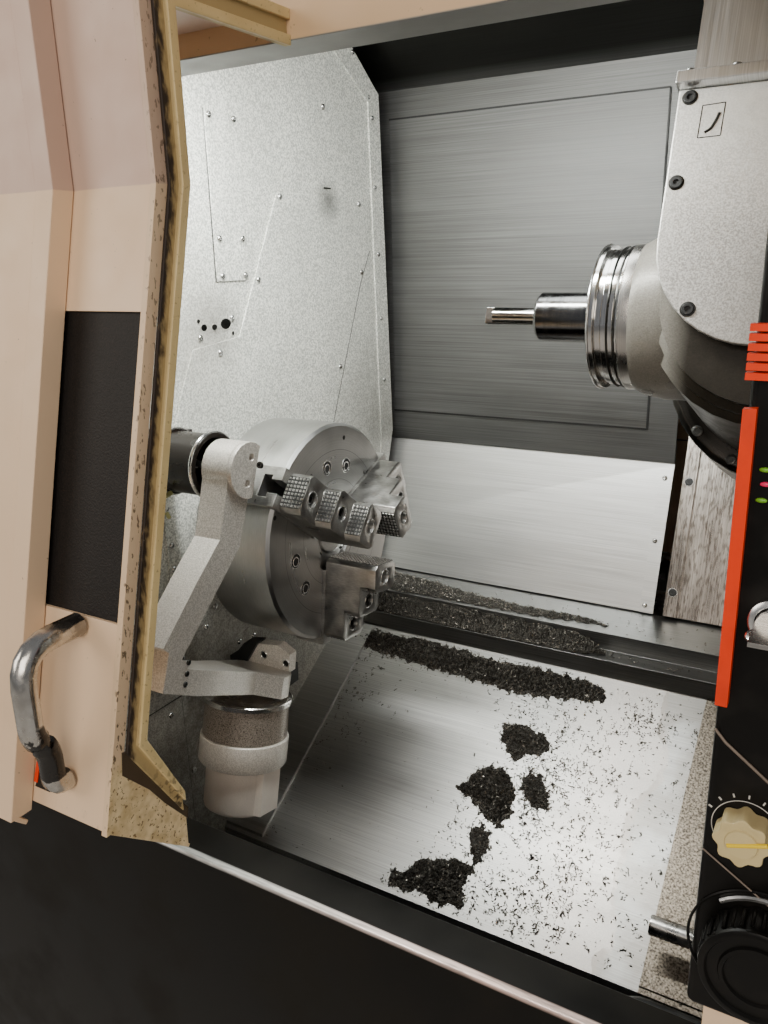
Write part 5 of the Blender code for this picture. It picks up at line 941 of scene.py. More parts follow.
def panel_finish(cream, upper):
    """Two-tone paint, soiled and flaked toward the door's edge, with a brown gusset."""
    panel = Finish("two_tone_paint", 0.4)
    height = panel.plus(panel.axis("Z"), panel.patch(0.05, 3.0, 0.0, 1.0, -0.001, 0.001))
    broad = panel.patch(0.30, 4.0, 0.3, 0.7)
    lower = panel.blend(broad, cream, tuple(c * 0.90 for c in cream))
    top = panel.blend(broad, upper, tuple(c * 0.92 for c in upper))
    panel.colour(panel.blend(panel.between(height, 1.6695, 1.6705), lower, top))
    panel.over(panel.part(panel.patch(0.16, 6.0, 0.56, 0.8), 0.20), (0.42, 0.30, 0.18))
    rim = panel.times(panel.band("X", -0.0125, -0.0095), panel.band("X", 0.02, 0.021, 1.0, 0.0))
    panel.over(panel.part(rim, 0.22), (0.48, 0.36, 0.20))
    foot = panel.times(panel.band("Z", 1.135, 1.205, 0.85, 0.0), panel.band("X", -0.10, -0.02))
    side = panel.times(panel.band("X", -0.0075, -0.0045), panel.band("Z", 1.15, 1.78, 0.95, 0.55))
    panel.over(panel.times(panel.sum_up("MAXIMUM", foot, side),
                           panel.patch(0.0028, 4.0, 0.60, 0.63, stretch=(1.0, 1.0, 2.4))), (0.055, 0.032, 0.014))
    gusset = panel.times(panel.band("X", -0.0042, -0.0041), panel.band("Z", 1.235, 1.250, 1.0, 0.0))
    brown = panel.blend(panel.patch(0.010, 6.0, 0.36, 0.68), (0.88, 0.70, 0.42), (0.60, 0.44, 0.22))
    brown = panel.blend(panel.patch(0.0030, 4.0, 0.60, 0.66), brown, (0.22, 0.135, 0.05))
    panel.over(gusset, brown)
    panel.over(panel.part(panel.patch(0.0038, 2.0, 0.755, 0.77), 0.55), (0.12, 0.08, 0.05))
    panel.rough(panel.patch(0.03, 4.0, 0.3, 0.7, 0.34, 0.50))
    panel.relief(panel.cloud(0.0018, 2.0), 0.0002, 0.25)
    return panel


def edge_finish():
    """Yellowed paint of the door's frame, with grime in its groove and about its foot."""
    edge = Finish("yellowed_edge_paint", 0.42)
    edge.colour(edge.blend(edge.patch(0.05, 4.0, 0.3, 0.7), (0.72, 0.56, 0.28), (0.60, 0.45, 0.21)))
    spots = edge.times(edge.patch(0.0034, 5.0, 0.62, 0.66), edge.band("Z", 1.15, 1.75, 0.85, 0.5))
    edge.over(edge.part(spots, 0.7), (0.20, 0.12, 0.05))
    groove = edge.band("X", 0.0003, 0.0022, 1.0, 0.0)
    across = edge.plus(edge.axis("Y"), edge.band("Z", 1.25, 1.67, 0.1037, 0.0))
    across = edge.plus(across, edge.patch(0.0045, 5.0, 0.3, 0.7, -0.0035, 0.0035, (1.0, 1.0, 2.5)))
    edge.over(groove, edge.blend(edge.between(across, -0.7115, -0.7050), (0.085, 0.050, 0.022), (0.42, 0.31, 0.14)))
    black = edge.times(groove, edge.between(across, -0.7120, -0.7085, 1.0, 0.0))
    foot = edge.times(edge.band("Z", 1.185, 1.235, 1.0, 0.0), edge.patch(0.006, 5.0, 0.50, 0.60))
    edge.over(edge.sum_up("MAXIMUM", black, edge.part(foot, 0.8)), (0.020, 0.011, 0.006))
    edge.rough(edge.between(groove, 0.0, 1.0, 0.38, 0.65))
    edge.relief(edge.cloud(0.002, 3.0), 0.0002, 0.3)
    return edge


def handle_finish():
    """Chrome worn to black paint below its middle."""
    chrome = Finish("worn_chrome", 0.2, 1.0)
    level = chrome.axis("Z")
    worn = chrome.plus(chrome.between(level, 1.262, 1.285, 1.0, 0.0),
                       chrome.patch(0.010, 5.0, 0.35, 0.65, -0.40, 0.40))
    black = chrome.between(chrome.times(worn, chrome.between(level, 1.2290, 1.2330)), 0.44, 0.56)
    chrome.colour(chrome.blend(chrome.cloud(0.01, 5.0), (0.34, 0.32, 0.29), (0.76, 0.74, 0.70)))
    chrome.over(black, (0.018, 0.016, 0.014))
    chrome.metal(chrome.between(black, 0.0, 1.0, 1.0, 0.2))
    chrome.rough(chrome.patch(0.008, 4.0, 0.3, 0.7, 0.14, 0.34))
    return chrome


def door_skin(height):
    """How far back the lower door's face lies at a height over the spindle."""
    return -(0.439 + 0.25 * (0.42 - height))


def make_door(cream, upper):
    """The fixed panel and the door: two-tone paint, yellowed grimy frame, dark window and worn handle."""
    ease(panel_finish(cream, upper), 0.0022, "front_left_panel", "door_panel")
    ease(edge_finish(), 0.0008, "door_frame")
    glass = Finish("dark_window", 0.5)
    glass.dull(0.22)
    grain = glass.cloud(0.0016, 3.0)
    glass.colour(glass.blend(grain, (0.003, 0.003, 0.003), (0.022, 0.018, 0.016)))
    glass.relief(grain, 0.0005, 0.8)
    ease(glass, 0.0006, "door_window")
    ease(handle_finish(), 0.0, "door_handle")
    piece("frame_grime", *slab([at(GAP_ALONG, y, z) for y, z in GAP_FILL], ALONG * -GAP_HALF, ALONG * GAP_HALF),
          finish("frame_grime"), "door", BROWN_PAINT, False)
    # The black plate is the fixed panel's black end face and painted shade of the gap beside it
    for name, outline, lift, low, high, surface, slot in (
            ("black_face_and_gap_shade", BLACK_FACE_AND_GAP_SHADE, 0.0004, 0.0004, 0.0012, "seal_rubber", BLACK_PAINT),
            ("orange_mark", ORANGE_MARK, 0.0016, 0.0002, 0.0008, "signal_orange", ORANGE_PLASTIC)):
        spots = [at(x, door_skin(z) - lift, z) for x, z in outline]
        piece(name, *slab(spots, FRONT * -low, FRONT * high), finish(surface), "door", slot, False)


# The headstock wall and the rear
def make_wall():
    """The headstock wall with its plates and screws, painted shade in its holes and slot, and dark lines of painted
    shade along its plates' edges.
    """
    sheet, dark = finish("galvanised_wall"), finish("dark_screw_steel")
    radius = bpy.context.scene.lathe_sizes.screw_radius
    dress(sheet, "headstock_wall")
    ease(sheet, 0.0005, "small_wall_plate", "big_wall_plate")
    for name, lift, spots, share, high in (("wall_plate_screws", 0.0023, WALL_PLATE_SCREWS, 1.0, 0.0032),
                                           ("wall_sheet_screws", 0.0, WALL_SHEET_SCREWS, 1.0, 0.0032),
                                           ("wall_strip_screws", 0.0022, WALL_STRIP_SCREWS, 0.9, 0.0028)):
        screws(name, [at(WALL + lift, y, z) for y, z in spots], ALONG, radius * share, high, finish("screw_steel"),
               "machine", BRUSHED)
    # Dark discs in the holes paint the shade of their depth
    holes = [Matrix.Translation(at(WALL, y, z)) @ facing(ALONG) @ Matrix.Diagonal((high, wide, 1.0, 1.0))
             for y, z, wide, high in WALL_HOLES]
    disc = lathe_shape([(1.0, -SUNK), (1.0, 0.00025), (0.1, 0.00035)], 20)
    piece("wall_hole_shade", *copies(disc, holes), dark, "machine", BLACK_PAINT)
    piece("wall_hole_rims", *copies(ring_shape(1.25, 0.95, 0.0006, 20), holes), sheet, "machine", SILVER_PAINT)
    for name, outline in WALL_THIN_PLATES:
        piece(name, *slab([at(WALL, y, z) for y, z in outline], ALONG * -0.0001, ALONG * 0.0012), sheet, "machine",
              SILVER_PAINT, False)
    # Dark lines along the plates' edges paint the shade at their steps
    seams = [tube([at(WALL + lift, y, z) for y, z, lift in run], 0.0007, 6) for run in WALL_EDGE_SHADE]
    piece("wall_edge_shade", *gathered(*seams), dark, "machine", BLACK_PAINT)
    # A dark slab in the slot paints the shade of its depth
    piece("wall_slot_shade", *slab([at(WALL, y, z) for y, z in WALL_SLOT], ALONG * -0.0001, ALONG * 0.0008), dark,
          "machine", BLACK_PAINT)


def make_rear():
    """The rear sheets, the slanted cover, the right wall and the column's front, with seals and screws."""
    rear = new_finish("rear_sheet_steel")
    rear.over(rear.part(rear.band("Z", 1.898, 1.912), 0.85), (0.025, 0.025, 0.022))
    ease(rear, 0.0008, "rear_wall_sheet", "right_rear_cover")
    ease(finish("lower_cover_steel"), 0.0008, "rear_lower_cover")
    dress(finish("lower_cover_steel"), "right_inner_wall")
    column = new_finish("column_cover_steel")
    column.over(column.patch(0.0035, 4.0, 0.50, 0.62, 0.0, 0.6, (1.0, 2.0, 6.0)), (0.05, 0.035, 0.025))
    ease(column, 0.0010, "column_front_cover")
    seals = [slab([at(x, REAR_FACE, z) for x, z in ((x0, z0), (x1, z0), (x1, z1), (x0, z1))],
                  FRONT * -0.002, FRONT * 0.0004)
             for x0, z0, x1, z1 in ((SEAL_LEFT, SEAL_HIGH - SEAL_HALF, SEAL_RIGHT, SEAL_HIGH + SEAL_HALF),
                                    (SEAL_RIGHT - SEAL_HALF, SEAL_LOW, SEAL_RIGHT + SEAL_HALF, SEAL_HIGH),
                                    (SEAL_LEFT, SEAL_LOW - SEAL_HALF, SEAL_RIGHT, SEAL_LOW + SEAL_HALF))]
    piece("rear_seals", *gathered(*seals), finish("seal_rubber"), "carriage", RUBBER, False)
    out = Vector((0.0, -COVER_SLOPE.z, COVER_SLOPE.y))
    spots = [at(x, *COVER_TOP) - COVER_SLOPE * way + out * 0.0016 for x, way in COVER_SCREWS]
    screws("cover_screws", spots, out, 0.0042, 0.003, finish("screw_steel"), "carriage", BRUSHED)
    strip = [slanted(HEAD_CENTRE, STRIP_ALONG, up, STRIP_OUT) for up in STRIP_HEIGHTS]
    screws("strip_screws", strip, FRONT_UP, 0.0062, 0.0012, finish("seal_rubber"), "carriage", OILED, cap_head)
    rims("strip_screw_rims", strip, FRONT_UP, 0.0075, 0.0060, 0.0008, finish("bright_steel"), "carriage", BRUSHED)


# The chip slide and its chips
def chip_shape(rng):
    """A small curled sliver of cut metal, closed, about one unit long."""
    bend = rng.uniform(0.3, 1.1) * rng.choice((-1, 1))
    points = []
    for k in range(3):
        a = bend * (k - 1)
        spot = Vector(((k - 1) * 0.5, 0.35 * (1 - math.cos(a)), 0.22 * rng.uniform(0.2, 1.0) * (k - 1) ** 2))
        wide = (0.10, 0.22, 0.08)[k] * rng.uniform(0.7, 1.3)
        for shift in (Vector((0, -wide, 0)), Vector((0, wide, 0.02)), Vector((0, 0, wide * 0.9 + 0.05))):
            points.append(spot + shift)
    return points, quads(3, 3) + [(0, 2, 1), (6, 7, 8)]


def slide_point(x, y, lift=0.0):
    """A place on the sloped chip slide."""
    return at(x, y, SLIDE_TOP[1] + SLIDE_FALL * (y - SLIDE_TOP[0])) + SLIDE_OUT * lift


def ledge_point(x, y, lift=0.0):
    """A place on the rear ledge or in the channel in front of it."""
    if y >= LEDGE_RUNS[1][0]:
        return at(x, y, LEDGE_HEIGHT + lift)
    share = min(max((y - LEDGE_RUNS[0][0]) / (LEDGE_RUNS[0][1] - LEDGE_RUNS[0][0]), 0.0), 1.0)
    fade = min(max((0.335 - x) / 0.06, 0.0), 1.0)
    return at(x, y, CHANNEL_HEIGHT + lift + (CHANNEL_FILL * share * fade if lift > 0.0 else 0.0))


def lay_chips(name, spots, length, surface, rng):
    """Lays one curled chip at each spot of (place, upward way, pile height)."""
    shapes = [chip_shape(rng) for _ in range(CHIP_SHAPES)]
    laid = []
    for spot, out, pile in spots:
        points, faces = shapes[rng.randrange(CHIP_SHAPES)]
        size = length * rng.uniform(0.55, 1.35)
        tilt = 0.25 + min(pile * 150.0, 1.1)
        turn = (Matrix.Translation(spot + out * (rng.uniform(0.15, 1.0) * pile + 0.0001))
                @ facing(out, rng.uniform(0, 6.28)) @ Matrix.Rotation(rng.uniform(-tilt, tilt), 4, "Y")
                @ Matrix.Rotation(rng.uniform(-tilt, tilt), 4, "X") @ Matrix.Scale(size, 4))
        laid.append(([turn @ p for p in points], faces))
    piece(name, *gathered(*laid), surface, "machine", OILED, False)


def inside_by(outline, x, y):
    """How far a place lies inside an outline, below 0 outside it."""
    inside, gap = False, 1.0
    for k, (x1, y1) in enumerate(outline):
        x2, y2 = outline[(k + 1) % len(outline)]
        if (y1 > y) != (y2 > y) and x < (x2 - x1) * (y - y1) / (y2 - y1) + x1:
            inside = not inside
        run, away = Vector((x2 - x1, y2 - y1)), Vector((x - x1, y - y1))
        share = max(0.0, min(1.0, away.dot(run) / run.length_squared))
        gap = min(gap, (away - run * share).length)
    return gap if inside else -gap


def heap(name, outline, place, bounds, surface, height, rng):
    """A low ragged heap over a flat outline, as a bumpy closed skin; gives its tops."""
    seed = Vector((rng.uniform(0, 50), rng.uniform(0, 50), 0))
    xs, ys = [p[0] for p in outline], [p[1] for p in outline]
    left, front = min(xs) - HEAP_MARGIN, min(ys) - HEAP_MARGIN
    wide = int((max(xs) + HEAP_MARGIN - left) / HEAP_CELL) + 2
    deep = int((max(ys) + HEAP_MARGIN - front) / HEAP_CELL) + 2
    tops, faces, points, index, edges = {}, [], [], {}, {}
    for i in range(wide):
        for j in range(deep):
            x, y = left + i * HEAP_CELL, front + j * HEAP_CELL
            ragged = (noise.noise(Vector((x, y, 0)) * 90.0 + seed) * 0.007
                      + noise.noise(Vector((x, y, 3)) * 260.0) * 0.003)
            depth = inside_by(outline, x, y) + ragged + HEAP_MARGIN * 0.6
            if depth > 0 and bounds[0] < y < bounds[1]:
                bump = (0.55 + 0.9 * noise.noise(Vector((x, y, 7)) * 420.0)
                        + 0.5 * noise.noise(Vector((x, y, 9)) * 120.0))
                tops[(i, j)] = (x, y, height * min(1.0, depth / 0.010) * max(0.12, bump))
    for key, (x, y, lift) in tops.items():
        index[key] = len(points)
        points += [place(x, y, lift), place(x, y, -0.0002)]
    for i, j in tops:
        corners = ((i, j), (i + 1, j), (i + 1, j + 1), (i, j + 1))
        if all(corner in tops for corner in corners):
            ring = [index[corner] for corner in corners]
            faces += [tuple(ring), tuple(n + 1 for n in reversed(ring))]
            edges.update(((ring[k], ring[(k + 1) % 4]), None) for k in range(4))
    faces += [(a, a + 1, b + 1, b) for a, b in edges if (b, a) not in edges]
    used = sorted({n for face in faces for n in face})
    new = {n: k for k, n in enumerate(used)}
    piece(name, [points[n] for n in used], [tuple(new[n] for n in face) for face in faces], surface, "machine",
          OILED, False)
    return list(tops.values())


def make_chips(length, share, dark, surface):
    """Heaps and scattered chips on the slide, in the channel and on the ledge."""
    rng = random.Random(CHIP_SEED)
    clumps = []
    for k, (outline, thick, density) in enumerate(SLIDE_HEAPS):
        tops = heap("chip_heap_%d" % (k + 1), outline, slide_point, SLIDE_RUN, dark, thick, rng)
        count = int(len(tops) * density * share)
        for _ in range(count):
            x, y, lift = tops[rng.randrange(len(tops))]
            clumps.append((slide_point(x + rng.gauss(0, 0.0015), y + rng.gauss(0, 0.0015)), SLIDE_OUT,
                           lift + 0.0006))
        for _ in range(count // 5):
            x, y, lift = tops[rng.randrange(len(tops))]
            clumps.append((slide_point(x + rng.gauss(0, 0.009), min(y + rng.gauss(0, 0.009), SLIDE_REAR)), SLIDE_OUT,
                           0.0004))
    lay_chips("chips_heaped", clumps, length, surface, rng)
    ledge = []
    for k, (outline, thick, density) in enumerate(LEDGE_HEAPS):
        tops = heap("ledge_heap_%d" % (k + 1), outline, ledge_point, LEDGE_RUNS[k], dark, thick, rng)
        for _ in range(int(len(tops) * density * share)):
            x, y, lift = tops[rng.randrange(len(tops))]
            spot = ledge_point(x + rng.gauss(0, 0.001), y, max(lift, 0.0004))
            ledge.append((spot - UP * lift, UP, lift + 0.0006))
    for _ in range(int(LEDGE_CHIPS * share)):
        x = rng.uniform(-0.12, 0.46)
        ledge.append((ledge_point(x, rng.choice((rng.uniform(0.262, 0.288), rng.uniform(0.298, 0.398)))), UP, 0.0003))
    lay_chips("chips_on_ledge", ledge, length, surface, rng)
    loose = []
    for x, y, spread_x, spread_y, count in SPECK_CLOUDS:
        for _ in range(int(count * share * 1.5)):
            a, b = rng.gauss(x, spread_x), rng.gauss(y, spread_y)
            if -0.155 < a < 0.60 and SLIDE_RUN[0] < b < SLIDE_REAR:
                loose.append((slide_point(a, b), SLIDE_OUT, 0.0002))
                for _ in range(rng.choice((0, 0, 0, 1, 3, 6))):
                    spot = slide_point(a + rng.gauss(0, 0.0022),
                                       min(max(b + rng.gauss(0, 0.0022), SLIDE_RUN[0]), SLIDE_REAR))
                    loose.append((spot, SLIDE_OUT, 0.0009))
    lay_chips("chips_loose", loose, length * 0.8, surface, rng)


def slide_finish():
    """The chip slide: brushed sheet with dull wet edges, dry film and a rough strip at its right."""
    slide = new_finish("slide_steel")
    along = slide.plus(slide.axis("X"), slide.patch(0.10, 4.0, 0.3, 0.7, -0.02, 0.02))
    dry = slide.times(slide.between(along, 0.10, 0.20), slide.between(along, 0.268, 0.270, 1.0, 0.0))
    slide.over(slide.part(dry, 0.75), slide.blend(slide.cloud(0.0015, 3.0), (0.34, 0.31, 0.285), (0.60, 0.55, 0.51)))
    damp = slide.times(slide.between(along, 0.262, 0.2635), slide.patch(0.05, 4.0, 0.35, 0.55))
    slide.over(slide.part(damp, 0.45), (0.22, 0.19, 0.16))
    slide.over(slide.band("X", 0.3145, 0.3155),
               slide.blend(slide.patch(0.0026, 4.0, 0.35, 0.65), (0.06, 0.05, 0.04), (0.30, 0.255, 0.205)))
    marks = slide.times(slide.patch(0.003, 2.0, 0.72, 0.74, stretch=(2.2, 1.0, 1.0)),
                        slide.patch(0.10, 3.0, 0.45, 0.60))
    slide.over(slide.part(marks, 0.8), (0.05, 0.045, 0.04))
    return slide


def make_slide(length, share):
    """The chip slide and its ledge, with their chips."""
    ease(slide_finish(), 0.0008, "chip_slide")
    ease(finish("ledge_steel"), 0.0008, "rear_ledge")
    dark = Finish("heap_steel", 0.5, 0.6)
    grain = dark.cloud(0.0016, 3.0)
    dark.colour(dark.blend(dark.between(grain, 0.45, 0.72), (0.012, 0.010, 0.008), (0.14, 0.13, 0.11)))
    dark.relief(grain, 0.0016, 1.0)
    make_chips(length, share, dark, finish("chip_steel"))


# The milling head
def make_head():
    """The ram, the milling head with its collar and tool, and the round bearing behind it."""
    ease(finish("ram_steel"), 0.0015, "ram_tower", "ram_cap", "ram_saddle")
    # The head's cover carries a painted highlight at its top
    ease(finish("blasted_cover"), 0.0016, "head_front_cover")
    swivel = new_finish("swivel_casting")
    nose = swivel.band("X", HEAD_CENTRE.x - 0.095, HEAD_CENTRE.x - 0.070, 1.0, 0.0)
    swivel.over(nose, swivel.blend(swivel.cloud(0.0015, 3.0), (0.11, 0.10, 0.085), (0.30, 0.285, 0.25)))
    ease(swivel, 0.0018, "swivel_head")
    ease(finish("dark_ring_steel"), 0.0012, "b_axis_ring")
    ease(finish("polished_collar"), 0.0006, "spindle_collar")
    barrel = lathe_shape([(0.0700, 0.1080), (COLLAR_BARREL - 0.0006, 0.1085), (COLLAR_BARREL, 0.1095),
                          (COLLAR_BARREL, 0.1440), (COLLAR_BARREL - 0.0008, 0.1450), (0.0720, 0.1455)], 96)
    piece("collar_barrel", *copies(barrel, placed([HEAD_CENTRE], -ALONG)), finish("satin_collar"), "head", CHROME)
    ease(finish("boring_bar_steel"), 0.0004, "boring_bar")
    ease(finish("black_holder"), 0.0006, "tool_holder")
    steel, bright, dark = finish("screw_steel"), finish("bright_steel"), finish("dark_screw_steel")
    spots = [slanted(HEAD_CENTRE, x, up, HEAD_FACE - 0.0004) for x, up in HEAD_COVER_SCREWS]
    rims("cover_screw_rims", spots, FRONT_UP, 0.0072, 0.0054, 0.0012, dark, "ram", GROUND)
    screws("cover_cap_screws", spots, FRONT_UP, 0.0056, 0.0024, finish("seal_rubber"), "ram", OILED, cap_head)
    spots = [slanted(HEAD_CENTRE, x, HEAD_CAP_UP, HEAD_CAP_OUT) for x in HEAD_CAP_SCREWS]
    screws("cap_top_screws", spots, UP_BACK, 0.0055, 0.0042, steel, "ram", GROUND)
    path = [slanted(HEAD_CENTRE, x, up, HEAD_FACE - 0.0002) for x, up in HOOK_FRAME + HOOK_FRAME[:1]]
    hook = smooth_path([slanted(HEAD_CENTRE, x, up, HEAD_FACE) for x, up in HOOK], 4)
    shapes = [tube(path[k:k + 2], 0.0006, 6) for k in range(4)] + [tube(hook, 0.0013, 7)]
    piece("hook_mark", *gathered(*shapes), dark, "ram", OILED)
    for k, (along, angle, size) in enumerate(COLLAR_SCREWS):
        way = Vector((0.0, -math.cos(angle), math.sin(angle)))
        reach = COLLAR_FRONT if along > COLLAR_FRONT_FROM else COLLAR_BARREL
        place = placed([HEAD_CENTRE - ALONG * along + way * reach], way)
        piece("collar_screw_%d" % (k + 1), *gathered(copies(ring_shape(size * 1.3, size, 0.0006, 20), place),
                                                     copies(cap_head(size * 0.98, 0.0004, 16), place)),
              dark, "head", OILED)
    for name, along, radius, bead, sides, shines in COLLAR_RINGS:
        path = circle(HEAD_CENTRE - ALONG * along, radius, 72, FRONT)
        piece(name, *tube(path, bead, sides), bright if shines else dark, "head", CHROME if shines else OILED)
    along, angle, reach = NOSE_PLUG
    plug = HEAD_CENTRE - ALONG * along + Vector((0, -math.cos(angle), math.sin(angle))) * reach
    screws("nose_plug", [plug], Vector((0, -1, angle)), 0.0052, 0.0012, bright, "head", CASTING)
    bolts = [slanted(HEAD_CENTRE, BEARING_REACH * math.cos(a), BEARING_REACH * math.sin(a), BEARING_OUT)
             for a in [math.radians(d) for d in BEARING_BOLTS]]
    screws("ring_screws", bolts, FRONT_UP, 0.0066, 0.0016, dark, "ram", OILED, cap_head)


# The chuck and its jaws
def jaw_place(number):
    """The turn that carries a jaw's own directions to its place round the chuck."""
    return Matrix.Translation(CHUCK_FACE) @ Matrix.Rotation(CHUCK_TURN + number * 2 * math.pi / 3, 4, "X")


def make_jaws(surface):
    """The stepped top jaws with clipped corners, screw holes and eased edges."""
    blocks = []
    inner, cut = JAW_INNER, JAW_PLAN_CUT
    for _, high, edge, _ in JAW_STEPS:
        plan = ((inner, -JAW_HALF + cut), (inner + cut, -JAW_HALF), (edge - cut, -JAW_HALF), (edge, -JAW_HALF + cut),
                (edge, JAW_HALF - cut), (edge - cut, JAW_HALF), (inner + cut, JAW_HALF), (inner, JAW_HALF - cut))
        shape = slab([Vector((0.0, y, z)) for y, z in plan], ALONG * JAW_BASE, ALONG * high)
        blocks.append(linked("work", outward_mesh("work", *shape)))
    base = blocks.pop()
    combined(base, blocks, "UNION")
    bore = lathe_shape([(JAW_BORE, 0.0), (JAW_BORE, 0.03)], 32)
    combined(base, [linked("work", outward_mesh("work", *copies(bore, placed([(height - JAW_BORE_DEPTH, reach, 0.0)],
                                                                            ALONG))))
                    for height, reach in JAW_BOLTS], "DIFFERENCE")
    bevel(base, 0.0007, JAW_EASE_ANGLE)
    mesh = applied(base)
    bpy.data.objects.remove(base)
    for number in range(3):
        shape = mesh.copy()
        shape.transform(jaw_place(number))
        shape.name = "stepped_jaw_%d" % (number + 1)
        clad(shape, surface)
        shape.shade_smooth()
        shape.set_sharp_from_angle(angle=JAW_EASE_ANGLE)
        made = linked(shape.name, shape)
        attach(made, "jaw_%d" % (number + 1))
        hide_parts("top_jaw_%d" % (number + 1))


def pyramids(low, high, edge, rows):
    """Points and faces of rows of blunt pyramids on a jaw's step face."""
    half = JAW_HALF - JAW_PLAN_CUT
    shapes = []
    step_x, step_z = (high - low) / rows, 2 * half / KNURL_COLUMNS
    for row in range(rows):
        for column in range(KNURL_COLUMNS):
            middle = Vector((low + step_x * (row + 0.5), edge, -half + step_z * (column + 0.5)))
            points = [middle + Vector((a * step_x * share, lift, b * step_z * share))
                      for share, lift in ((0.38, -0.0004), (0.24, KNURL_HIGH))
                      for a, b in ((-1, -1), (1, -1), (1, 1), (-1, 1))]
            shapes.append((points, quads(2, 4) + [(4, 5, 6, 7), (0, 1, 2, 3)]))
    return gathered(*shapes)


def knurl_groove_shade(low, high, edge):
    """Points and faces of the dark plate between the pyramids of one face: painted shade in the knurls' grooves."""
    half = JAW_HALF - JAW_PLAN_CUT
    corners = [Vector((x, edge, z)) for x, z in ((low, -half), (high, -half), (high, half), (low, half))]
    return slab(corners, FRONT * KNURL_SHADE_HALF, FRONT * -KNURL_SHADE_HALF)


def make_chuck():
    """The chuck with engraved circles, its master jaws and the stepped, knurled top jaws with their screws."""
    chuck = new_finish("ground_chuck_steel")
    radius = chuck.axis("Y", chuck.round_about(CHUCK_FACE, ALONG))
    for line in CHUCK_CIRCLES:
        gap = chuck.sum_up("ABSOLUTE", chuck.sum_up("SUBTRACT", radius, line))
        chuck.over(chuck.between(gap, 0.0002, 0.0006, 0.55, 0.0), (0.08, 0.08, 0.08))
    ease(chuck, 0.0012, "chuck_body", "chuck_cap")
    dress(chuck, "spindle_shaft")
    steel, bright, dark = finish("jaw_steel"), finish("bright_steel"), finish("dark_screw_steel")
    ease(steel, 0.0006, "master_jaw_1", "master_jaw_2", "master_jaw_3")
    make_jaws(steel)
    face_spots, cap_spots = [], []
    for number in range(3):
        turn = jaw_place(number)
        body, tag = "jaw_%d" % (number + 1), "_%d" % (number + 1)
        fields = [(low + KNURL_MARGIN, high - KNURL_MARGIN, edge) for low, high, edge, _ in JAW_STEPS]
        fields.append((JAW_BASE, JAW_TOP - KNURL_MARGIN, JAW_INNER))
        # A dark plate under each field of knurls paints the shade in their grooves
        piece("knurl_groove_shade" + tag, *copies(gathered(*[knurl_groove_shade(*field) for field in fields]), [turn]),
              finish("seal_rubber"), body, OILED, False)
        inner = pyramids(JAW_BASE, JAW_TOP, -JAW_INNER, INNER_ROWS)
        piece("knurl" + tag, *gathered(*[copies(pyramids(*step), [turn]) for step in JAW_STEPS],
                                       copies(inner, [turn @ Matrix.Rotation(math.pi, 4, "X")])),
              steel, body, GROUND, False)
        along = turn.to_3x3() @ ALONG
        spots = [turn @ Vector((height - 0.0118, reach, 0.0)) for height, reach in JAW_BOLTS]
        screws("jaw_screws" + tag, spots[1:], along, 0.0082, 0.0085, dark, body, OILED, cap_head)
        rims("jaw_hole_rims" + tag, [turn @ Vector((height, reach, 0.0)) for height, reach in JAW_BOLTS], along,
             0.0107, JAW_BORE, 0.0005, bright, body, GROUND)
        for side in (-1, 1):
            way = math.pi / 3 + side * FACE_SCREW_SPREAD
            face_spots.append(turn @ Vector((0.0, FACE_SCREW_REACH * math.cos(way), FACE_SCREW_REACH * math.sin(way))))
            way = math.pi / 3 + side * CAP_SCREW_SPREAD
            cap_spots.append(turn @ Vector((-0.006, CAP_SCREW_REACH * math.cos(way), CAP_SCREW_REACH * math.sin(way))))
    # Black discs in the chuck's screw holes paint the shade of their depth
    hole_shade_disc = lathe_shape([(0.0095, -SUNK), (0.0095, 0.0002), (TIP, 0.0003)], 32)
    piece("chuck_hole_shade", *copies(hole_shade_disc, placed(face_spots, ALONG)), finish("seal_rubber"), "spindle", OILED)
    rims("chuck_screws", [spot + Vector((0.0002, 0.0, -0.0012)) for spot in face_spots], ALONG, 0.0070, 0.0052,
         0.0005, bright, "spindle", GROUND)
    rims("chuck_hole_rims", face_spots, ALONG, 0.0106, 0.0094, 0.0004, bright, "spindle", GROUND)
    screws("cap_screws", cap_spots, ALONG, 0.0026, 0.0018, dark, "spindle", OILED)
    screws("chuck_plugs", [at(0.0, y, z) for y, z in CHUCK_PLUGS], ALONG, 0.0032, 0.0006, dark, "spindle", OILED)


# The tool setter
def level_foot(spot):
    """Lifts the front of the arm's foot and widens the disc at its hub."""
    away = spot - HUB_CENTRE
    up, out = away.dot(UP_BACK), away.dot(FRONT_UP)
    if math.hypot(away.x, out) < ARM_DISC:
        spot = spot + ALONG * (away.x * ARM_WIDER) + FRONT_UP * (out * ARM_WIDER)
        out *= 1.0 + ARM_WIDER
    if up < ARM_KNEE:
        spot = spot + UP_BACK * (ARM_LIFT * max(out, 0.0))
    return spot


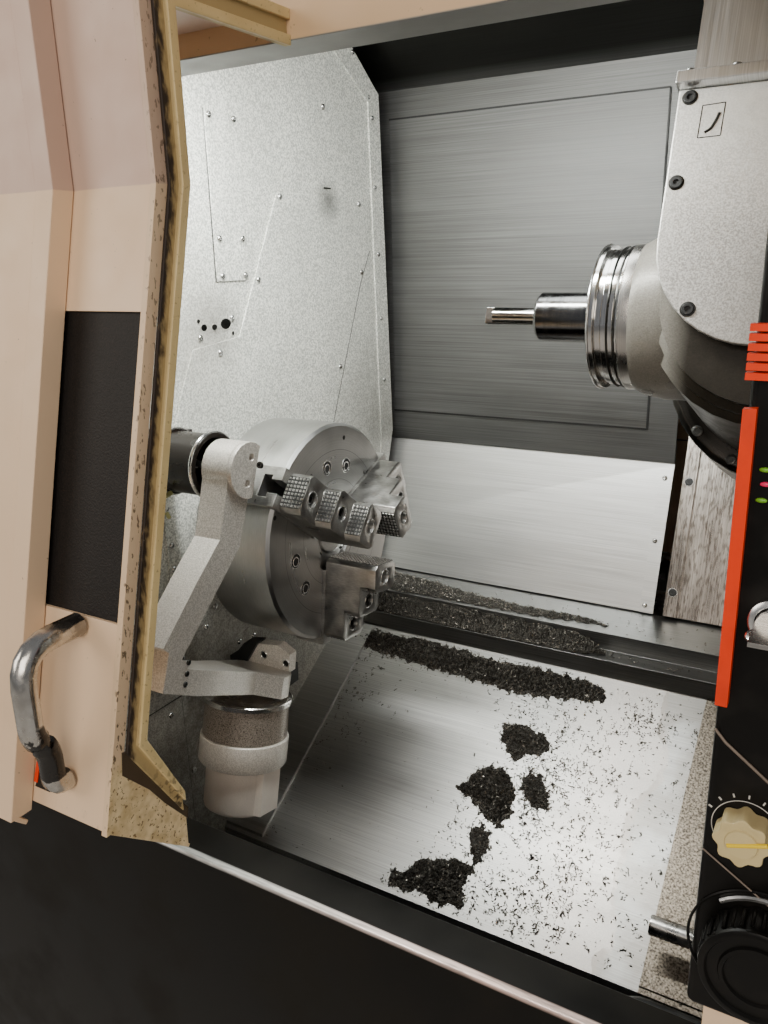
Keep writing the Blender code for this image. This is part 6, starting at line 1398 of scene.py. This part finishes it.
def make_hub(bright, dark):
    """The setter's motor hub with its stages, under the arm's foot, and its bracket on the wall."""
    down = Vector((0.0, -math.sin(HUB_LEAN), -math.cos(HUB_LEAN)))
    place = placed([HUB_CENTRE], down)
    flange = turned_steel("hub_flange_steel", (0.40, 0.38, 0.35), (0.85, 0.82, 0.78), HUB_CENTRE, -down, 0.2)
    band, cover = finish("hub_band_coat"), finish("hub_cover_coat")
    for (name, profile), surface in zip(HUB_STAGES, (flange, finish("hub_dark_coat"), band, cover)):
        made = piece(name, *copies(lathe_shape(profile, 72), place), surface, "machine", ALUMINIUM)
        if surface is flange:
            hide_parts("setter_hub")
    side = place[0] @ Vector((0.0, 0.0, HUB_BOX_LOW))
    outline = [side + ALONG * x + facing(down).to_3x3() @ Vector((0.0, y, 0.0)) for x, y in HUB_BOX]
    piece("hub_box", *slab(outline, down * HUB_BOX_RISE, down * HUB_BOX_DROP), cover, "machine", ALUMINIUM)
    plug = HUB_CENTRE + down * 0.022 + HUB_PLUG_WAY.normalized() * 0.0588
    screws("hub_plug", [plug], HUB_PLUG_WAY, 0.0028, 0.0010, dark, "machine", ALUMINIUM)
    for name, outline, deep, start, end, light in HUB_BRACKET:
        piece(name, *slab([at(x, deep, z) for x, z in outline], FRONT * -start, FRONT * -end),
              band if light else finish("seal_rubber"), "machine", ALUMINIUM if light else BLACK_PAINT, False)
    spots = [at(x, BRACKET_FACE, z) for x, z in BRACKET_SCREWS]
    rims("hub_bracket_rims", spots, FRONT, 0.0062, 0.0044, 0.0012, bright, "machine", ALUMINIUM)
    screws("hub_bracket_screws", spots, FRONT, 0.0044, 0.0008, dark, "machine", OILED, cap_head)


def make_setter():
    """The tool setter: cranked arm, sensor, parking tube with rings and a wire loop, and the hub."""
    soften("setter_arm", finish("setter_aluminium"), 0.0022, level_foot)
    ease(finish("setter_aluminium"), 0.0008, "sensor_head")
    ease(finish("parking_tube_paint"), 0.0006, "setter_tube")
    dress(finish("stylus_steel"), "setter_stylus")
    bright, dark = finish("bright_steel"), finish("dark_screw_steel")
    for name, x in (("tube_ring_front", -0.0495), ("tube_ring_rear", -0.1095)):
        path = circle(at(x, *TUBE_AXIS), TUBE_RING, 48, -FRONT)
        piece(name, *tube(path, 0.0022, 8), bright, "machine", GROUND)
    bolts = [at(WALL + 0.0065, y, z) for y, z in TUBE_BOLTS]
    screws("tube_bolts", bolts, ALONG, 0.0062, 0.006, dark, "machine", BLACK_PAINT, cap_head)
    foot = [slanted(HUB_CENTRE, FOOT_SIDE, up, out) for up, out in FOOT_SCREWS]
    screws("arm_foot_screws", foot, ALONG, 0.0034, 0.0018, dark, "setter", OILED)
    eye = [slanted(HUB_CENTRE, x, up, EYE_OUT) - FRONT_UP * EYE_SUNK for x, up in EYE_SCREWS]
    screws("arm_head_screws", eye, FRONT_UP, 0.0042, 0.003, dark, "setter", OILED, cap_head)
    top = at(*LOOP_TOP)
    loop = [top + Vector((0.004 * math.sin(a), -0.0085 * math.sin(a), -0.0095 * (1 - math.cos(a))))
            for a in [2 * math.pi * k / 24 for k in range(25)]]
    piece("wire_loop", *tube(loop, 0.0009, 7), finish("screw_steel"), "machine", OILED)
    seal = top + Vector((0.0, 0.0, -0.021))
    tag = [seal + Vector((0, -0.005, 0.003)), seal, seal + Vector((0.001, 0.002, -0.006))]
    bow = [top + Vector(step) for step in ((0, -0.011, 0.004), (0, 0.001, 0.001), (0, 0.010, 0.003))]
    piece("loop_tag", *gathered(tube(tag, 0.0026, 8), tube(bow, 0.0030, 8)), finish("tag_plastic"), "machine",
          CREAM_PLASTIC)
    make_hub(bright, dark)


# The control panel and the coolant fittings
def make_dial(dial):
    """Ticks round the dial, its ring, the wave mark beside it, its pointer and its cap."""
    marks = []
    for k in range(DIAL_TICKS):
        a = math.radians(TICK_FIRST - k * TICK_STEP)
        spot = dial + Vector((math.cos(a), 0, math.sin(a))) * TICK_REACH + Vector((0, -0.0002, 0))
        turn = Matrix.Translation(spot) @ Matrix.Rotation(-a, 4, "Y")
        tick = [turn @ Vector((x * 0.0010, 0, z * 0.0004)) for x, z in ((-1, -1), (1, -1), (1, 1), (-1, 1))]
        marks.append(slab(tick, FRONT * -0.0003, FRONT * 0.0002))
    marks.append(tube(circle(dial + FRONT * 0.0001, 0.0168, 48, ALONG), 0.00025, 5))
    piece("dial_marks", *gathered(*marks), finish("print_white"), "machine", CREAM_PLASTIC)
    zigzag = [at(0.6045 + 0.0030 * k, PANEL_FACE - 0.0002, 0.0945 + (0.0017 if k % 2 else -0.0017) - 0.0010 * k)
              for k in range(7)]
    piece("panel_wave", *tube(zigzag, 0.00035, 5), finish("dial_cream"), "machine", CREAM_PLASTIC)
    pointer = [dial + Vector(step) for step in ((-0.0065, -0.0150, -0.0022), (0.0030, -0.0152, 0.0012),
                                                (0.0125, -0.0148, 0.0042))]
    piece("dial_pointer", *tube(pointer, 0.0012, 8), finish("pointer_yellow"), "dial", CREAM_PLASTIC)
    knob = lathe_shape([(0.0086, -0.0142), (0.0086, -0.0010), (0.0078, 0.0004), (0.0030, 0.0008), (TIP, 0.0008)], 36)
    piece("dial_cap", *copies(knob, placed([dial + FRONT * 0.0146], FRONT)), finish("dial_cream"), "dial",
          CREAM_PLASTIC)


def make_wheel(wheel, black):
    """The hand wheel's ribs and face, and the mark and ring round it."""
    ribs = []
    for k in range(WHEEL_RIBS):
        a = 2 * math.pi * k / WHEEL_RIBS
        rim = wheel + Vector((math.cos(a), 0, math.sin(a))) * WHEEL_RIM
        ribs.append(tube([rim + FRONT * 0.004, rim + FRONT * 0.0175], 0.0010, 6))
    piece("wheel_ribs", *gathered(*ribs), black, "wheel", BLACK_PLASTIC)
    hub = lathe_shape([(0.0300, -0.0004), (0.0297, 0.0014), (0.0282, 0.0022), (0.0262, 0.0022), (0.0250, 0.0002),
                       (0.0196, 0.0002), (0.0188, 0.0018), (0.0168, 0.0018), (0.0160, 0.0002), (TIP, 0.0004)], 64)
    piece("wheel_face", *copies(hub, placed([wheel + FRONT * 0.0200], FRONT)), black, "wheel", BLACK_PLASTIC)
    crescent = [wheel + Vector((math.cos(a), 0, math.sin(a))) * 0.0345 + FRONT * 0.0009
                for a in [math.radians(60 + 8 * k) for k in range(10)]]
    piece("wheel_mark", *tube(crescent, 0.0016, 7), finish("screw_steel"), "machine", BRUSHED)
    path = circle(wheel + FRONT * 0.0002, 0.0385, 64, ALONG)
    piece("wheel_ring", *tube(path, 0.0009, 6), black, "machine", BLACK_PLASTIC)


def make_panel():
    """The control panel: black housing, orange strip with its ribbed block, dial, wheel, key and lights."""
    black, orange, bright = finish("panel_black"), finish("signal_orange"), finish("bright_steel")
    ease(black, 0.0012, "pendant_housing", "handwheel")
    ease(finish("pipe_steel"), 0.0004, "key_switch")
    ease(finish("dial_cream"), 0.0006, "override_dial")
    ease(finish("stop_red"), 0.0012, "emergency_stop")
    ease(finish("screen_dark"), 0.0006, "pendant_screen")
    strip = [at(x, PANEL_FACE, z) for x, z in ORANGE_STRIP]
    made = piece("orange_strip", *slab(strip, STRIP_THICK * -0.03, STRIP_THICK), orange, "machine", ORANGE_PLASTIC,
                 False)
    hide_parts("pendant_trim")
    ribs = []
    for k in range(RIBS):
        low = RIB_FOOT + RIB_PITCH * k
        high = low + RIB_HIGH
        rib = ((RIB_LEFT, low), (RIB_RIGHT, low), (RIB_RIGHT, high), (RIB_LEFT, high))
        ribs.append(slab([at(x, PANEL_FACE, z) for x, z in rib], STRIP_THICK * -0.03, STRIP_THICK))
    piece("orange_ribs", *gathered(*ribs), orange, "machine", ORANGE_PLASTIC, False)
    lens = lathe_shape([(0.0026, -SUNK), (0.0026, 0.0006), (0.0018, 0.0011), (TIP, 0.0013)], 16)
    for name, x, z, surface in LIGHTS:
        place = Matrix.Translation(at(x, PANEL_FACE, z)) @ facing(FRONT) @ Matrix.Diagonal((1.0, 0.45, 1, 1))
        piece(name, *copies(lens, [place]), finish(surface), "machine", ORANGE_PLASTIC)
    lines = [tube([at(x, PANEL_FACE - 0.0004, z) for x, z in run], thick, 6) for thick, run in EDGE_LINES]
    piece("panel_edge_line", *gathered(*lines), finish("panel_line"), "machine", BRUSHED)
    make_dial(at(DIAL[0], PANEL_FACE, DIAL[1]))
    make_wheel(at(WHEEL[0], PANEL_FACE, WHEEL[1]), black)
    stem = at(KEY[0], PANEL_FACE - KEY_STEM, KEY[1])
    bow = [stem + Vector((KEY_BOW * math.cos(a), -0.0125 - KEY_BOW * math.sin(a), 0.0))
           for a in [2 * math.pi * k / 32 for k in range(33)]]
    piece("key_bow_rim", *tube(bow, 0.0010, 7), bright, "key", CHROME)
    seat = lathe_shape([(0.0118, -SUNK), (0.0118, 0.0022), (0.0100, 0.0034), (0.0086, 0.0034), (0.0086, -SUNK)], 40,
                       True)
    piece("key_ring", *copies(seat, placed([at(KEY[0], PANEL_FACE, KEY[1])], FRONT)), bright, "machine", CHROME)


def make_coolant():
    """The coolant pipe with its ribbed mouth and the black hose in the trough."""
    pipe = finish("coolant_pipe_steel")
    ease(pipe, 0.0004, "coolant_pipe")
    ease(finish("hose_rubber"), 0.0, "coolant_hose")
    path = [at(0.4780 + 0.0030 * k, -0.070, -0.4045) for k in range(18)]
    piece("pipe_ribs", *tube(path, 0.0117, 20, 0.035), pipe, "machine", BRUSHED)


# The add-on
class LatheSizes(bpy.types.PropertyGroup):
    """Sizes of the fittings."""

    screw_radius: FloatProperty(name="Screw head", description="Radius of a button screw head",
                                default=0.0045, min=0.002, max=0.01, unit="LENGTH")
    chip_length: FloatProperty(name="Chip", description="Length of a metal chip",
                               default=0.0034, min=0.001, max=0.01, unit="LENGTH")
    chip_share: FloatProperty(name="Chips", description="Share of the chips that is laid",
                              default=1.0, min=0.05, max=1.5, subtype="FACTOR")


class LatheColours(bpy.types.PropertyGroup):
    """Paint colours."""

    cream: FloatVectorProperty(name="Cream", description="Paint of the casings and the lower panels",
                               default=(0.82, 0.60, 0.40), min=0.0, max=1.0, subtype="COLOR")
    upper: FloatVectorProperty(name="Upper panels", description="Paint above the panels' knee",
                               default=(0.60, 0.425, 0.335), min=0.0, max=1.0, subtype="COLOR")


class LATHE_OT_stage(bpy.types.Operator):
    """Add the floor, the lights and the camera."""

    bl_idname = "lathe.stage"
    bl_label = "Stage"

    def execute(self, context):
        make_stage()
        return {"FINISHED"}


class LATHE_OT_base(bpy.types.Operator):
    """Paint the hidden castings and grind the guideways."""

    bl_idname = "lathe.base"
    bl_label = "Castings and guideways"

    def execute(self, context):
        make_base()
        return {"FINISHED"}


class LATHE_OT_casings(bpy.types.Operator):
    """Paint the casings, the beam, the skirt and the trough."""

    bl_idname = "lathe.casings"
    bl_label = "Casings"

    def execute(self, context):
        make_casings(tuple(context.scene.lathe_colours.cream))
        return {"FINISHED"}


class LATHE_OT_door(bpy.types.Operator):
    """Paint the fixed panel and the door, and add the black plate, for the fixed panel's black end face and painted
    shade of the gap beside it, with its orange mark.
    """

    bl_idname = "lathe.door"
    bl_label = "Door"

    def execute(self, context):
        colours = context.scene.lathe_colours
        make_door(tuple(colours.cream), tuple(colours.upper))
        return {"FINISHED"}


class LATHE_OT_wall(bpy.types.Operator):
    """Finish the headstock wall and add its screws, the painted shade in its holes and slot, and the dark lines of
    painted shade along its plates' edges.
    """

    bl_idname = "lathe.wall"
    bl_label = "Headstock wall"

    def execute(self, context):
        make_wall()
        return {"FINISHED"}


class LATHE_OT_rear(bpy.types.Operator):
    """Finish the rear sheets and the column cover."""

    bl_idname = "lathe.rear"
    bl_label = "Rear sheets"

    def execute(self, context):
        make_rear()
        return {"FINISHED"}


class LATHE_OT_slide(bpy.types.Operator):
    """Finish the chip slide and lay its chips."""

    bl_idname = "lathe.slide"
    bl_label = "Chip slide"

    def execute(self, context):
        make_slide(context.scene.lathe_sizes.chip_length, context.scene.lathe_sizes.chip_share)
        return {"FINISHED"}


class LATHE_OT_head(bpy.types.Operator):
    """Finish the ram and the milling head."""

    bl_idname = "lathe.head"
    bl_label = "Milling head"

    def execute(self, context):
        make_head()
        return {"FINISHED"}


class LATHE_OT_chuck(bpy.types.Operator):
    """Finish the chuck and build its stepped jaws."""

    bl_idname = "lathe.chuck"
    bl_label = "Chuck and jaws"

    def execute(self, context):
        make_chuck()
        return {"FINISHED"}


class LATHE_OT_setter(bpy.types.Operator):
    """Finish the tool setter and build its hub."""

    bl_idname = "lathe.setter"
    bl_label = "Tool setter"

    def execute(self, context):
        make_setter()
        return {"FINISHED"}


class LATHE_OT_panel(bpy.types.Operator):
    """Finish the control panel and add its small parts."""

    bl_idname = "lathe.panel"
    bl_label = "Control panel"

    def execute(self, context):
        make_panel()
        return {"FINISHED"}


class LATHE_OT_coolant(bpy.types.Operator):
    """Finish the coolant pipe and hose."""

    bl_idname = "lathe.coolant"
    bl_label = "Coolant"

    def execute(self, context):
        make_coolant()
        return {"FINISHED"}


class LATHE_PT_dressing(bpy.types.Panel):
    """Lists the sizes, colours and steps."""

    bl_label = "Turning lathe"
    bl_idname = "LATHE_PT_dressing"
    bl_space_type = "VIEW_3D"
    bl_region_type = "UI"
    bl_category = "Lathe"

    def draw(self, context):
        layout = self.layout
        for group in (context.scene.lathe_sizes, context.scene.lathe_colours):
            for name in group.__annotations__:
                layout.prop(group, name)
        for step in STEPS:
            layout.operator(step.bl_idname)


STEPS = (LATHE_OT_stage, LATHE_OT_base, LATHE_OT_casings, LATHE_OT_door, LATHE_OT_wall, LATHE_OT_rear,
         LATHE_OT_slide, LATHE_OT_head, LATHE_OT_chuck, LATHE_OT_setter, LATHE_OT_panel, LATHE_OT_coolant)
CLASSES = (LatheSizes, LatheColours, *STEPS, LATHE_PT_dressing)


def register():
    for kind in CLASSES:
        bpy.utils.register_class(kind)
    bpy.types.Scene.lathe_sizes = bpy.props.PointerProperty(type=LatheSizes)
    bpy.types.Scene.lathe_colours = bpy.props.PointerProperty(type=LatheColours)


def unregister():
    del bpy.types.Scene.lathe_colours
    del bpy.types.Scene.lathe_sizes
    for kind in reversed(CLASSES):
        bpy.utils.unregister_class(kind)


def main():
    """Registers the add-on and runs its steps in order."""
    register()
    for step in STEPS:
        group, name = step.bl_idname.split(".")
        getattr(getattr(bpy.ops, group), name)()


if __name__ == "__main__":
    main()
